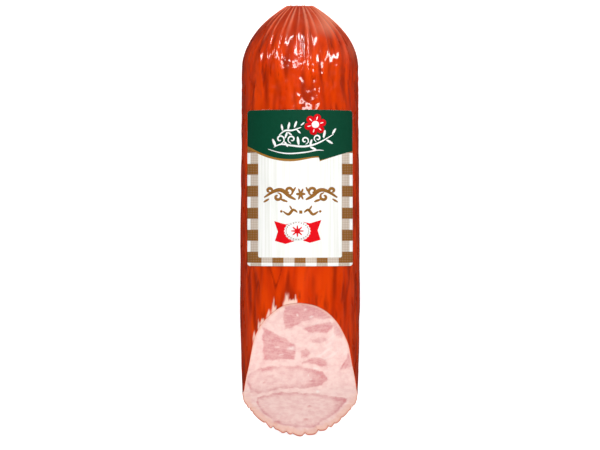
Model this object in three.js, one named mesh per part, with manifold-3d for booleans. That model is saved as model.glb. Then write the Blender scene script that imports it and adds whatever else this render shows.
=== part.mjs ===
// A cured sausage in a fibrous casing, lying on its side with a label on its upper face.
// One end is gathered into pleats and closed with an aluminium clip; the other is cut off at a slant.
// Millimetres, +Z up. The sausage's axis runs along Y: the clipped end is at +Y and the cut end at -Y.
// The origin is at the middle of the surface that it lies on.

import * as THREE from "three";
import { mergeVertices } from "three/addons/utils/BufferGeometryUtils.js";
import Module from "manifold-3d";

const wasm = await Module();
wasm.setup();

// Overall sizes
const overallLength = 234;
const bellyDiameter = 65;
const shoulderTaper = 0.8; // how much less the radius is at the shoulder than at the belly
const mouthTaper = 1.5; // and at the cut end
const domeLength = 36;
const bellyFromTip = 160; // where the sausage is fattest
const restFlattening = 0.8; // how far its own weight flattens the underside

// Casing
const casingWall = 0.5;
const fitGap = 0.3; // between pieces that touch
const pleatCount = 32;
const pleatHeight = 0.9;

// Gathered end: the casing rolls over a rim into a dimple, where the clip grips its neck
const neckDiameter = 4.8;
const clipWireDiameter = 2;
const clipOpening = 0.35; // between the clip's two leg ends, in radians
const clipClearance = 0.4; // between the clip and the dimple's wall
const rimWidth = 3.2;
const rimRound = 1.2;
const tailDiameter = 6.8;
const tailThickness = 1;
const tailBelowRim = 0.2;

// Slanting cut: in side view a curve with a handle at each end, and a lip where the knife left the underside
const cutRun = 75; // along the axis, from the lip's edge to the upper face
const cutTopHandle = new THREE.Vector2(-16, -14);
const cutHeelHandle = new THREE.Vector2(6.5, 24);
const lipReach = 16.5; // how far the lip runs on from the foot of the curve
const lipHeight = 18; // at the foot of the curve

// Label: it fills the straight stretch between the dome and the cut, less these margins
const labelFromDome = 21;
const labelFromCut = 18.5;
const labelWrap = 121; // degrees round the sausage
const labelThickness = 0.3;
const labelCorner = 2;

// Fineness of the facets; each pleat takes two steps round
const stepsRound = 2 * pleatCount;
const domeSteps = 9;
const bodySteps = 3;
const rimSteps = 4;
const cutSteps = 14;
const cornerSteps = 3;
const wireSides = 5; // half the number of sides
const wireSteps = 20;

// What follows from the sizes above
const bellyRadius = bellyDiameter / 2;
const axisHeight = bellyRadius - restFlattening;
const tipY = overallLength / 2;
const lipY = -overallLength / 2;
const mouthRadius = bellyRadius - mouthTaper;
const lipEdgeHeight = axisHeight - mouthRadius;
const clipRadius = neckDiameter / 2 + fitGap + clipWireDiameter / 2;
const dimpleRadius = clipRadius + clipWireDiameter / 2 + clipClearance;
const dimpleDepth = tailBelowRim + tailThickness + clipWireDiameter + 2 * fitGap;
const rimRadius = dimpleRadius + rimWidth;
const cavityDepth = dimpleDepth + 2 * casingWall;
const beyond = 10; // how far a cutter reaches past what it cuts
const pastMouth = overallLength + beyond;

/** A point of a line that is revolved: its radius, its depth from the tip, and how far a pleat lifts it. */
const at = (radius, depth, rise = 0) => ({ radius, depth, rise });

/** A closed three.js geometry as a solid, with its shared vertices merged. */
function solidFrom(geometry) {
  const bare = geometry.index ? geometry.toNonIndexed() : geometry.clone();
  bare.deleteAttribute("normal");
  bare.deleteAttribute("uv");
  const merged = mergeVertices(bare, 1e-4);
  return new wasm.Manifold(
    new wasm.Mesh({
      numProp: 3,
      vertProperties: merged.attributes.position.array,
      triVerts: new Uint32Array(merged.index.array),
    }),
  );
}

/** A solid as a named mesh with its material. */
function meshFrom(name, solid, material) {
  const made = solid.getMesh();
  const geometry = new THREE.BufferGeometry();
  const position = new THREE.BufferAttribute(made.vertProperties, made.numProp);
  geometry.setAttribute("position", position);
  geometry.setIndex(new THREE.BufferAttribute(made.triVerts, 1));
  geometry.computeVertexNormals();
  const mesh = new THREE.Mesh(geometry, new THREE.MeshStandardMaterial(material));
  mesh.name = name;
  return mesh;
}

/** The sausage's outside, from the rim of its gathered end to past its mouth. Only the dome is pleated. */
function outsideLine() {
  const shoulder = bellyRadius - shoulderTaper;
  const ease = (bellyFromTip - domeLength) / 3;
  const mouthEase = (overallLength - bellyFromTip) / 3;
  const dome = new THREE.CubicBezierCurve(
    new THREE.Vector2(rimRadius, rimRound),
    new THREE.Vector2(shoulder * 0.7, domeLength * 0.25),
    new THREE.Vector2(shoulder, domeLength * 0.56),
    new THREE.Vector2(shoulder, domeLength),
  );
  const body = new THREE.CubicBezierCurve(
    new THREE.Vector2(shoulder, domeLength),
    new THREE.Vector2(shoulder, domeLength + ease),
    new THREE.Vector2(bellyRadius, bellyFromTip - ease),
    new THREE.Vector2(bellyRadius, bellyFromTip),
  );
  const end = new THREE.CubicBezierCurve(
    new THREE.Vector2(bellyRadius, bellyFromTip),
    new THREE.Vector2(bellyRadius, bellyFromTip + mouthEase),
    new THREE.Vector2(mouthRadius, overallLength - mouthEase),
    new THREE.Vector2(mouthRadius, overallLength),
  );
  const risen = (p, i) => at(p.x, p.y, pleatHeight * (1 - i / domeSteps));
  const level = (p) => at(p.x, p.y);
  return [
    ...dome.getPoints(domeSteps).map(risen),
    ...body.getPoints(bodySteps).slice(1).map(level),
    ...end.getPoints(bodySteps).slice(1).map(level),
    at(mouthRadius, pastMouth),
  ];
}

/** A line moved square to itself, outwards for a positive distance. The new line has no pleats. */
function offsetLine(line, distance) {
  return line.map((point, i) => {
    const before = line[Math.max(0, i - 1)];
    const after = line[Math.min(line.length - 1, i + 1)];
    const along = new THREE.Vector2(
      after.radius - before.radius,
      after.depth - before.depth,
    ).normalize();
    return at(point.radius + along.y * distance, point.depth - along.x * distance);
  });
}

/** The stretch of a line between two depths, with an end point made on each. */
function stretchOf(line, from, to) {
  const crossing = (depth) => {
    const next = line.findIndex((point) => point.depth >= depth);
    const a = line[next - 1];
    const b = line[next];
    const share = (depth - a.depth) / (b.depth - a.depth);
    return at(a.radius + share * (b.radius - a.radius), depth);
  };
  const within = line.filter((point) => point.depth > from && point.depth < to);
  return [crossing(from), ...within, crossing(to)];
}

/** Revolves a closed line round the sausage's axis. No point ends up below the height that floorOf gives it. */
function revolve(line, floorOf) {
  const profile = line.map((p) => new THREE.Vector2(p.radius, tipY - p.depth));
  const geometry = new THREE.LatheGeometry(profile, stepsRound);
  const position = geometry.attributes.position;
  for (let i = 0; i < position.count; i++) {
    const point = line[i % line.length];
    const onRidge = Math.floor(i / line.length) % 2 === 0;
    const grown = onRidge && point.rise ? 1 + point.rise / point.radius : 1;
    const height = position.getZ(i) * grown + axisHeight;
    position.setX(i, position.getX(i) * grown);
    position.setZ(i, Math.max(height, floorOf(point)));
  }
  return solidFrom(geometry);
}

/** What the slanting cut takes away, right across the sausage. */
function makeCutter() {
  const top = new THREE.Vector2(lipY + cutRun, axisHeight + bellyRadius);
  const heel = new THREE.Vector2(lipY + lipReach, lipHeight);
  const face = new THREE.CubicBezierCurve(
    top,
    top.clone().add(cutTopHandle),
    heel.clone().add(cutHeelHandle),
    heel,
  );
  const pastTop = cutTopHandle.clone().setLength(-beyond).add(top);
  const lip = new THREE.Vector2(lipY, lipEdgeHeight);
  const pastLip = lip.clone().sub(heel).setLength(beyond).add(lip);
  const farY = lipY - 3 * beyond;
  const shape = new THREE.Shape([
    pastTop,
    ...face.getPoints(cutSteps),
    pastLip,
    new THREE.Vector2(farY, pastLip.y),
    new THREE.Vector2(farY, pastTop.y),
  ]);
  const width = bellyDiameter + 2 * beyond;
  const geometry = new THREE.ExtrudeGeometry(shape, {
    depth: width,
    bevelEnabled: false,
  });
  geometry.translate(0, 0, -width / 2);
  const acrossToX = new THREE.Matrix4().makeBasis(
    new THREE.Vector3(0, 1, 0),
    new THREE.Vector3(0, 0, 1),
    new THREE.Vector3(1, 0, 0),
  );
  return solidFrom(geometry.applyMatrix4(acrossToX));
}

const outside = outsideLine();
const cutter = makeCutter();

/** The meat: one solid mass that fills the casing up to the slanting cut. */
function makeMeat() {
  const top = cavityDepth + fitGap;
  const side = stretchOf(offsetLine(outside, -casingWall - fitGap), top, pastMouth);
  const line = [at(0, pastMouth), ...side.reverse(), at(0, top)];
  const solid = revolve(line, () => casingWall + fitGap).subtract(cutter);
  return meshFrom("meat", solid, { color: 0xf0bdb4, roughness: 0.45 });
}

/** The casing: a thin skin with a pleated dome, whose gathered end has a rim, a dimple, a neck and a tail. */
function makeCasing() {
  const rim = new THREE.EllipseCurve(
    (dimpleRadius + rimRadius) / 2,
    rimRound,
    rimWidth / 2,
    rimRound,
    -Math.PI,
    0,
  );
  const risen = (p, i) => at(p.x, p.y, (pleatHeight * i) / rimSteps);
  const gather = [
    at(0, tailBelowRim),
    at(tailDiameter / 2, tailBelowRim),
    at(neckDiameter / 2, tailBelowRim + tailThickness),
    at(neckDiameter / 2, dimpleDepth),
    at(dimpleRadius, dimpleDepth),
    ...rim.getPoints(rimSteps).slice(0, -1).map(risen),
  ];
  const inside = stretchOf(offsetLine(outside, -casingWall), cavityDepth, pastMouth);
  const outer = [...gather, ...outside];
  const inner = [...inside.reverse(), at(0, cavityDepth)];
  const floorOf = (point) => (inner.includes(point) ? casingWall : 0);
  const solid = revolve([...outer, ...inner].reverse(), floorOf).subtract(cutter);
  return meshFrom("casing", solid, { color: 0xd8400c, roughness: 0.3 });
}

/** The line that the clip's wire follows: most of a turn round the casing's neck. */
class ClipLine extends THREE.Curve {
  getPoint(share, target = new THREE.Vector3()) {
    const angle = clipOpening / 2 + share * (2 * Math.PI - clipOpening);
    return target.set(clipRadius * Math.cos(angle), 0, clipRadius * Math.sin(angle));
  }
}

/** The clip: a round aluminium wire bent round the neck, on the dimple's floor. */
function makeClip() {
  const section = new THREE.Shape();
  section.absarc(0, 0, clipWireDiameter / 2, 0, 2 * Math.PI);
  const geometry = new THREE.ExtrudeGeometry(section, {
    extrudePath: new ClipLine(),
    steps: wireSteps,
    curveSegments: wireSides,
    bevelEnabled: false,
  });
  const depth = dimpleDepth - fitGap - clipWireDiameter / 2;
  geometry.translate(0, tipY - depth, axisHeight);
  const material = { color: 0xc9cbcd, roughness: 0.35, metalness: 1 };
  return meshFrom("clip", solidFrom(geometry), material);
}

/** A rectangle with round corners, between two heights in y. */
function roundedRectangle(width, low, high, corner) {
  const right = width / 2 - corner;
  const shape = new THREE.Shape();
  shape.absarc(right, low + corner, corner, -Math.PI / 2, 0);
  shape.absarc(right, high - corner, corner, 0, Math.PI / 2);
  shape.absarc(-right, high - corner, corner, Math.PI / 2, Math.PI);
  shape.absarc(-right, low + corner, corner, Math.PI, 1.5 * Math.PI);
  return shape;
}

/** The label: a thin sheet that lies round the upper side of the casing. */
function makeLabel() {
  const low = lipY + cutRun + labelFromCut;
  const high = tipY - domeLength - labelFromDome;
  const from = tipY - high - beyond;
  const to = tipY - low + beyond;
  const under = stretchOf(offsetLine(outside, fitGap), from, to);
  const over = stretchOf(offsetLine(outside, fitGap + labelThickness), from, to);
  const ring = revolve([...under, ...over.reverse(), under[0]], () => -beyond);
  const halfWrap = THREE.MathUtils.degToRad(labelWrap / 2);
  const width = 2 * bellyRadius * Math.sin(halfWrap);
  const outline = roundedRectangle(width, low, high, labelCorner);
  const prism = new THREE.ExtrudeGeometry(outline, {
    depth: bellyDiameter,
    curveSegments: cornerSteps,
    bevelEnabled: false,
  });
  prism.translate(0, 0, axisHeight);
  const solid = ring.intersect(solidFrom(prism));
  return meshFrom("label", solid, { color: 0xf7f5f0, roughness: 0.5 });
}

const sausage = new THREE.Group();
sausage.add(makeMeat(), makeCasing(), makeClip(), makeLabel());
export default sausage;
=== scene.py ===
"""The looks of a cured sausage that lies on its side, in a studio.

It builds the wrinkled casing, the cut meat, the clip and the printed label round the solids of the frame.
Lengths are in metres, +Z is up, and the sausage's axis runs along Y with its clipped end at +Y.
"""

from __future__ import annotations

import logging
import math
import random
from bisect import bisect_left
from collections.abc import Callable, Iterable, Sequence
from dataclasses import dataclass, field
from enum import Enum

import bmesh
import bpy
from mathutils import Matrix, Vector, geometry, noise

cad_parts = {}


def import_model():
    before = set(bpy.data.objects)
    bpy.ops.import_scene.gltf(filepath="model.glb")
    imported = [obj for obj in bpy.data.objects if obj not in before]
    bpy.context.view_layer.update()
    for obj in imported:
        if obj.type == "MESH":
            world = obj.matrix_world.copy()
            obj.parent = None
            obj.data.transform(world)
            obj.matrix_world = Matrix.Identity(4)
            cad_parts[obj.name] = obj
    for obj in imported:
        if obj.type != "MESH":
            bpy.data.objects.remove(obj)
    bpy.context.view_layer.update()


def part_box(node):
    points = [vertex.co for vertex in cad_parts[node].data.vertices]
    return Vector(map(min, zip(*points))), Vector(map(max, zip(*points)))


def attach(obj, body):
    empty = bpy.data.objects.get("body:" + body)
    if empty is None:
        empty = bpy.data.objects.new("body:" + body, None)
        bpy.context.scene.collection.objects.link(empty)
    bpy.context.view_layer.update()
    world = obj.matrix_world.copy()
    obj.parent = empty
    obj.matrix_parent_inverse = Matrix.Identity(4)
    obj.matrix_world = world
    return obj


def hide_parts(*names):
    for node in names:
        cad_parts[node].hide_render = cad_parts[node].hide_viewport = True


LOG = logging.getLogger("sausage")
MM = 0.001
FULL_TURN = 2 * math.pi
CURVE_STEPS = 40
ROOT = "root"

Socket = bpy.types.NodeSocket
Value = float | Sequence[float] | Socket
Colour = tuple[float, float, float]
Pair = tuple[float, float]
Marks = tuple[float, float, float, float]
Mesh = bmesh.types.BMesh
Vertex = bmesh.types.BMVert


# ---- small helpers


def smooth(low: float, high: float, value: float) -> float:
    """Rises smoothly from 0 at low to 1 at high; low may be the larger.

    Args:
        low: Where the rise starts.
        high: Where it ends.
        value: Where to read it.

    Returns:
        A share from 0 to 1.
    """
    share = min(1.0, max(0.0, (value - low) / (high - low)))
    return share * share * (3 - 2 * share)


def mix(start: float, end: float, share: float) -> float:
    """The value a share of the way from start to end."""
    return start + (end - start) * share


def from_screen(red: int, green: int, blue: int) -> Colour:
    """Turns a colour as a screen shows it, 0 to 255, into linear light.

    Args:
        red: Red as shown.
        green: Green as shown.
        blue: Blue as shown.

    Returns:
        The three linear values from 0 to 1.
    """

    def linear(shown: int) -> float:
        """One channel in linear light."""
        value = shown / 255
        return value / 12.92 if value <= 0.04045 else ((value + 0.055) / 1.055) ** 2.4

    return linear(red), linear(green), linear(blue)


class Track:
    """A value that changes along a length, held as points and read in between."""

    def __init__(self, points: Iterable[Pair]) -> None:
        """Keeps the points in order.

        Args:
            points: Pairs of place and value.
        """
        ordered = sorted(points)
        self.places = [place for place, _ in ordered]
        self.values = [value for _, value in ordered]

    def at(self, place: float) -> float:
        """The value at a place, or the nearest end's.

        Args:
            place: Where to read it.

        Returns:
            The value there.
        """
        after = min(max(bisect_left(self.places, place), 1), len(self.places) - 1)
        start, end = self.places[after - 1], self.places[after]
        share = min(1.0, max(0.0, (place - start) / (end - start)))
        return mix(self.values[after - 1], self.values[after], share)


def bend(points: Sequence[Pair], steps: int) -> list[Pair]:
    """Points of a flat curve with a handle at each end.

    Args:
        points: Start, its handle, the end's handle and the end.
        steps: How many pieces to divide it into.

    Returns:
        The points, both ends included.
    """
    knots = [Vector(point) for point in points]
    return [tuple(point) for point in geometry.interpolate_bezier(*knots, steps + 1)]


# ---- the sausage's form


@dataclass(frozen=True)
class Form:
    """The smooth outside of the sausage and the cut across it, without wrinkles.

    Attributes:
        belly_radius: Radius where it is fattest.
        axis_height: Height of its axis over the floor.
        tip_y: The gathered end.
        lip_y: The cut's lowest edge.
        shoulder_taper: How much thinner it is where the dome ends.
        mouth_taper: How much thinner it is at the cut's lip.
        dome_length: From the tip to the dome's end.
        belly_from_tip: From the tip to where it is fattest.
        crown_depth: From the tip to where the dome's outline starts.
        neck_radius: The gathered casing's radius inside the clip.
        dimple_radius: The dimple that the clip lies in.
        dimple_depth: From the tip to the dimple's bottom.
        rim_width: The rolled rim round the dimple.
        rim_round: How deep the rim's roll is.
        cut_run: From the cut's top to its lip, along the axis.
        lip_reach: From the lip to the cut's heel, along the axis.
        lip_height: The heel's height over the floor.
        top_handle: From the cut's top to its curve's handle, along and up.
        heel_handle: The same from the heel.
        cut_blur: How far up and down the cut's corners are softened.
        slant_from: Where the rings of a piece start to lean towards the cut.
        radii: The outside's radius at each depth from the tip.
        cut: The cut's y at each height.
    """

    belly_radius: float
    axis_height: float
    tip_y: float
    lip_y: float
    shoulder_taper: float = 0.8 * MM
    mouth_taper: float = 1.5 * MM
    dome_length: float = 36 * MM
    belly_from_tip: float = 160 * MM
    crown_depth: float = 0.15 * MM
    neck_radius: float = 2.4 * MM
    dimple_radius: float = 5.1 * MM
    dimple_depth: float = 3.8 * MM
    rim_width: float = 2.6 * MM
    rim_round: float = 1.2 * MM
    cut_run: float = 75 * MM
    lip_reach: float = 16.5 * MM
    lip_height: float = 18 * MM
    top_handle: Pair = (-16 * MM, -14 * MM)
    heel_handle: Pair = (6.5 * MM, 24 * MM)
    cut_blur: float = 5 * MM
    slant_from: float = -30 * MM
    radii: Track = field(init=False, repr=False)
    cut: Track = field(init=False, repr=False)

    def __post_init__(self) -> None:
        """Works out the outside's radius at each depth, and the cut's place at each height."""
        object.__setattr__(self, "radii", self._outside())
        object.__setattr__(self, "cut", self._cut_line())

    @classmethod
    def from_frame(cls) -> Form:
        """Reads the main sizes from the casing's box."""
        low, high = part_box("casing")
        radius = (high.x - low.x) / 2
        return cls(radius, high.z - radius, high.y, low.y)

    @property
    def length(self) -> float:
        """From the gathered end to the lip."""
        return self.tip_y - self.lip_y

    @property
    def crown_radius(self) -> float:
        """Where the rolled rim turns over into the dome."""
        return self.dimple_radius + self.rim_width

    def _outside(self) -> Track:
        """The radius at each depth from the tip."""
        shoulder = self.belly_radius - self.shoulder_taper
        mouth = self.belly_radius - self.mouth_taper
        ease = (self.belly_from_tip - self.dome_length) / 3
        mouth_ease = (self.length - self.belly_from_tip) / 3
        dome, belly, end = self.dome_length, self.belly_from_tip, self.length
        curves = (
            ((self.crown_depth, self.crown_radius), (dome * 0.25, shoulder * 0.7),
             (dome * 0.56, shoulder), (dome, shoulder)),
            ((dome, shoulder), (dome + ease, shoulder),
             (belly - ease, self.belly_radius), (belly, self.belly_radius)),
            ((belly, self.belly_radius), (belly + mouth_ease, self.belly_radius),
             (end - mouth_ease, mouth), (end, mouth)),
        )
        return Track(point for curve in curves for point in bend(curve, CURVE_STEPS))

    def _cut_line(self) -> Track:
        """The cut's y at each height."""
        top = (self.lip_y + self.cut_run, self.axis_height + self.belly_radius)
        heel = (self.lip_y + self.lip_reach, self.lip_height)
        edge = self.axis_height - self.belly_radius + self.mouth_taper
        handles = (
            (top[0] + self.top_handle[0], top[1] + self.top_handle[1]),
            (heel[0] + self.heel_handle[0], heel[1] + self.heel_handle[1]),
        )
        line = bend((top, *handles, heel), CURVE_STEPS)
        sharp = Track((z, y) for y, z in [*line, (self.lip_y, edge)])
        soft = []
        levels = 60
        for level in range(levels + 1):
            height = mix(edge, top[1], level / levels)
            reach = min(self.cut_blur, height - edge, top[1] - height)
            near = [sharp.at(height + reach * side / 3) for side in range(-3, 4)]
            soft.append((height, sum(near) / len(near)))
        return Track(soft)

    def radius(self, y: float) -> float:
        """The smooth outside's radius at a place along the axis."""
        return self.radii.at(self.tip_y - y)

    def mouth(self, angle: float, inset: float = 0.0) -> float:
        """Where the cut leaves the sausage's side.

        Args:
            angle: Round the axis, with a quarter turn at the top.
            inset: How far inside the smooth outside.

        Returns:
            The place along the axis.
        """
        y = self.lip_y + self.cut_run / 2
        for _ in range(3):
            reach = self.held(angle, self.radius(y) - inset, inset)
            y = self.cut.at(self.axis_height + reach * math.sin(angle))
        return y

    def held(self, angle: float, radius: float, floor: float = 0.0) -> float:
        """A radius, less where the surface underneath, or a floor over it, would be in its way."""
        down = -math.sin(angle)
        return min(radius, (self.axis_height - floor) / down) if down > 1e-6 else radius

    def spot(self, angle: float, radius: float, y: float) -> Vector:
        """A point given by its angle, radius and place along the axis."""
        return Vector((radius * math.cos(angle), y, self.axis_height + radius * math.sin(angle)))

    def leaned(self, angle: float, y: float, inset: float = 0.0, short: float = 0.0) -> Pair:
        """A ring point's y, leaned towards the torn edge, and its share of the way there."""
        run = (self.slant_from - y) / (self.slant_from - self.lip_y)
        return mix(self.slant_from, self.mouth(angle, inset) - self.ragged(angle) + short, run), run

    @staticmethod
    def ragged(angle: float) -> float:
        """How far the cut's torn edge sticks out, in metres.

        Args:
            angle: Round the axis, with a quarter turn at the top.

        Returns:
            The distance towards the lip, negative in a notch.
        """
        around = Vector((math.cos(angle) * 5.4, math.sin(angle) * 5.4, 4.4))
        wander = noise.noise(around)
        low = smooth(0.1, -0.6, math.sin(angle))
        size = 0.8 + 1.1 * noise.noise(around * 1.6)
        lobes = (abs(math.sin(15 * angle + 3 * wander)) ** 0.7 - 0.6) * 1.9 * size
        turn = math.degrees(angle)
        left = smooth(138, 153, turn) * smooth(180, 164, turn)
        right = smooth(36, 26, turn) * smooth(-4, 14, turn)
        return (0.4 * wander + low * (lobes - 0.2) + 0.9 * (1 - low) + 6.5 * left + 4.0 * right) * MM


# ---- node trees


class NodeSheet:
    """A node tree with short calls that add nodes and join them."""

    def __init__(self, tree: bpy.types.NodeTree) -> None:
        """Takes an empty tree.

        Args:
            tree: The tree of a material, world or group.
        """
        self.tree = tree

    def add(self, kind: str, sockets: dict[str | int, Value] | None = None,
            **settings: object) -> bpy.types.Node:
        """Adds a node, sets it and joins its inputs.

        Args:
            kind: The node's type without its ShaderNode prefix.
            sockets: Input names or numbers, each with a value or another node's output.
            **settings: The node's own properties.

        Returns:
            The new node.
        """
        node = self.tree.nodes.new(kind if kind.startswith("Node") else f"ShaderNode{kind}")
        for name, value in settings.items():
            setattr(node, name, value)
        for name, value in (sockets or {}).items():
            if isinstance(value, bpy.types.NodeSocket):
                self.tree.links.new(value, node.inputs[name])
            elif isinstance(value, (tuple, list)) and len(value) == 3 and node.inputs[name].type == "RGBA":
                node.inputs[name].default_value = (*value, 1.0)
            else:
                node.inputs[name].default_value = value
        return node

    def sum(self, operation: str, first: Value, second: Value = 0.0, third: Value = 0.0) -> Socket:
        """One step of arithmetic, by a Math node's operation."""
        node = self.add("Math", {0: first, 1: second, 2: third}, operation=operation)
        return node.outputs[0]

    def ramp(self, value: Value, low: float, high: float) -> Socket:
        """A smooth rise from 0 at low to 1 at high; low may be the larger."""
        sockets = {"Value": value, "From Min": low, "From Max": high}
        return self.add("MapRange", sockets, interpolation_type="SMOOTHSTEP").outputs[0]

    def blend(self, share: Value, under: Value, over: Value, blend_type: str = "MIX") -> Socket:
        """Lays one colour over another.

        Args:
            share: How much of the upper one shows.
            under: The lower colour.
            over: The upper colour.
            blend_type: How they combine.

        Returns:
            The colour that results.
        """
        sockets = {0: share, 6: under, 7: over}
        node = self.add("Mix", sockets, data_type="RGBA", blend_type=blend_type)
        return node.outputs[2]

    def bump(self, height: Value, strength: float, distance: float) -> Socket:
        """A normal that follows a height from 0 to 1; distance is what 1 stands for, in metres."""
        sockets = {"Height": height, "Strength": strength, "Distance": distance}
        return self.add("Bump", sockets).outputs[0]

    def group(self, tree: bpy.types.NodeTree, sockets: dict[str, Value]) -> bpy.types.Node:
        """Places a shared effect with its own values.

        Args:
            tree: The effect's node group.
            sockets: Its inputs.

        Returns:
            The group's node.
        """
        node = self.tree.nodes.new("ShaderNodeGroup")
        node.node_tree = tree
        for name, value in sockets.items():
            if isinstance(value, bpy.types.NodeSocket):
                self.tree.links.new(value, node.inputs[name])
            else:
                node.inputs[name].default_value = value
        return node


def new_group(name: str, inputs: dict[str, str], outputs: dict[str, str]) -> tuple[NodeSheet, bpy.types.Node]:
    """Starts a shared effect.

    Args:
        name: The group's name.
        inputs: Each input's name and socket type, without its NodeSocket prefix.
        outputs: The same for its outputs.

    Returns:
        The group's sheet and its input node.
    """
    tree = bpy.data.node_groups.new(name, "ShaderNodeTree")
    for in_out, sockets in (("INPUT", inputs), ("OUTPUT", outputs)):
        for label, kind in sockets.items():
            tree.interface.new_socket(label, in_out=in_out, socket_type=f"NodeSocket{kind}")
    sheet = NodeSheet(tree)
    return sheet, sheet.add("NodeGroupInput")


class Effects:
    """The shared effects, each built once: mottling, fine grain, and uneven gloss."""

    def __init__(self) -> None:
        """Builds the three groups."""
        self.mottle = self._mottle()
        self.grain = self._grain()
        self.gloss = self._gloss()

    def patches(self, sheet: NodeSheet, place: Socket, patch: Value, detail: float, edge: float,
                stretch: float = 1.0) -> Socket:
        """Puts mottling in a tree: a mask from 0 to 1, in patches sized in millimetres."""
        sockets = {"Vector": place, "Patch": patch, "Stretch": stretch, "Detail": detail, "Edge": edge}
        return sheet.group(self.mottle, sockets).outputs["Mask"]

    def height(self, sheet: NodeSheet, place: Socket, coarse: float, fine: float,
               stretch: float = 1.0) -> Socket:
        """Puts fine grain in a tree: a height from 0 to 1, of two sizes in millimetres."""
        sockets = {"Vector": place, "Coarse": coarse, "Fine": fine, "Stretch": stretch}
        return sheet.group(self.grain, sockets).outputs["Height"]

    def roughness(self, sheet: NodeSheet, place: Socket, patch: float, shiny: float, dull: float) -> Socket:
        """Puts uneven gloss in a tree: a roughness, in patches sized in millimetres."""
        sockets = {"Vector": place, "Patch": patch, "Shiny": shiny, "Dull": dull}
        return sheet.group(self.gloss, sockets).outputs["Roughness"]

    @staticmethod
    def _stretched(sheet: NodeSheet, vector: Socket, along: Socket) -> Socket:
        """Object coordinates in millimetres, drawn out along the sausage."""
        shrink = sheet.sum("DIVIDE", 1000.0, along)
        scale = sheet.add("CombineXYZ", {"X": 1000.0, "Y": shrink, "Z": 1000.0})
        sockets = {0: vector, 1: scale.outputs[0]}
        return sheet.add("VectorMath", sockets, operation="MULTIPLY").outputs[0]

    def _mottle(self) -> bpy.types.NodeTree:
        """Soft patches: a mask from 0 to 1."""
        sheet, given = new_group(
            "mottle",
            {"Vector": "Vector", "Patch": "Float", "Stretch": "Float", "Detail": "Float", "Edge": "Float"},
            {"Mask": "Float"},
        )
        place = self._stretched(sheet, given.outputs["Vector"], given.outputs["Stretch"])
        scale = sheet.sum("DIVIDE", 1.0, given.outputs["Patch"])
        patches = sheet.add("TexNoise", {"Vector": place, "Scale": scale, "Detail": given.outputs["Detail"]})
        low = sheet.sum("SUBTRACT", 0.5, given.outputs["Edge"])
        high = sheet.sum("ADD", 0.5, given.outputs["Edge"])
        sockets = {"Value": patches.outputs[0], "From Min": low, "From Max": high}
        mask = sheet.add("MapRange", sockets, interpolation_type="SMOOTHSTEP")
        sheet.add("NodeGroupOutput", {"Mask": mask.outputs[0]})
        return sheet.tree

    def _grain(self) -> bpy.types.NodeTree:
        """A fine surface: a height from 0 to 1 of two sizes of grain."""
        sheet, given = new_group(
            "grain",
            {"Vector": "Vector", "Coarse": "Float", "Fine": "Float", "Stretch": "Float"},
            {"Height": "Float"},
        )
        place = self._stretched(sheet, given.outputs["Vector"], given.outputs["Stretch"])
        layers = []
        for size, share in (("Coarse", 0.65), ("Fine", 0.35)):
            scale = sheet.sum("DIVIDE", 1.0, given.outputs[size])
            layer = sheet.add("TexNoise", {"Vector": place, "Scale": scale, "Detail": 2.0})
            layers.append(sheet.sum("MULTIPLY", layer.outputs[0], share))
        sheet.add("NodeGroupOutput", {"Height": sheet.sum("ADD", *layers)})
        return sheet.tree

    def _gloss(self) -> bpy.types.NodeTree:
        """Uneven gloss: a roughness between two values."""
        sheet, given = new_group(
            "gloss",
            {"Vector": "Vector", "Patch": "Float", "Shiny": "Float", "Dull": "Float"},
            {"Roughness": "Float"},
        )
        mask = self.patches(sheet, given.outputs["Vector"], given.outputs["Patch"], 3.0, 0.22, 2.0)
        span = sheet.sum("SUBTRACT", given.outputs["Dull"], given.outputs["Shiny"])
        rough = sheet.sum("MULTIPLY_ADD", mask, span, given.outputs["Shiny"])
        sheet.add("NodeGroupOutput", {"Roughness": rough})
        return sheet.tree


def new_material(
    name: str, shader_sockets: dict[str, Value],
) -> tuple[bpy.types.Material, NodeSheet, bpy.types.Node, Socket]:
    """Starts a material with its shader.

    Args:
        name: The material's name.
        shader_sockets: The shader's own uniform values.

    Returns:
        The material, its sheet, its shader and its Object coordinates.
    """
    material = bpy.data.materials.new(name)
    material.use_nodes = True
    material.node_tree.nodes.clear()
    sheet = NodeSheet(material.node_tree)
    shader = sheet.add("BsdfPrincipled", shader_sockets)
    sheet.add("OutputMaterial", {"Surface": shader.outputs[0]})
    return material, sheet, shader, sheet.add("TexCoord").outputs["Object"]


def join(sheet: NodeSheet, shader: bpy.types.Node, **sockets: Socket) -> None:
    """Joins finished colours and masks to a shader, with underscores for the spaces in its socket names."""
    for name, value in sockets.items():
        sheet.tree.links.new(value, shader.inputs[name.replace("_", " ")])


# ---- finishes


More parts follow.
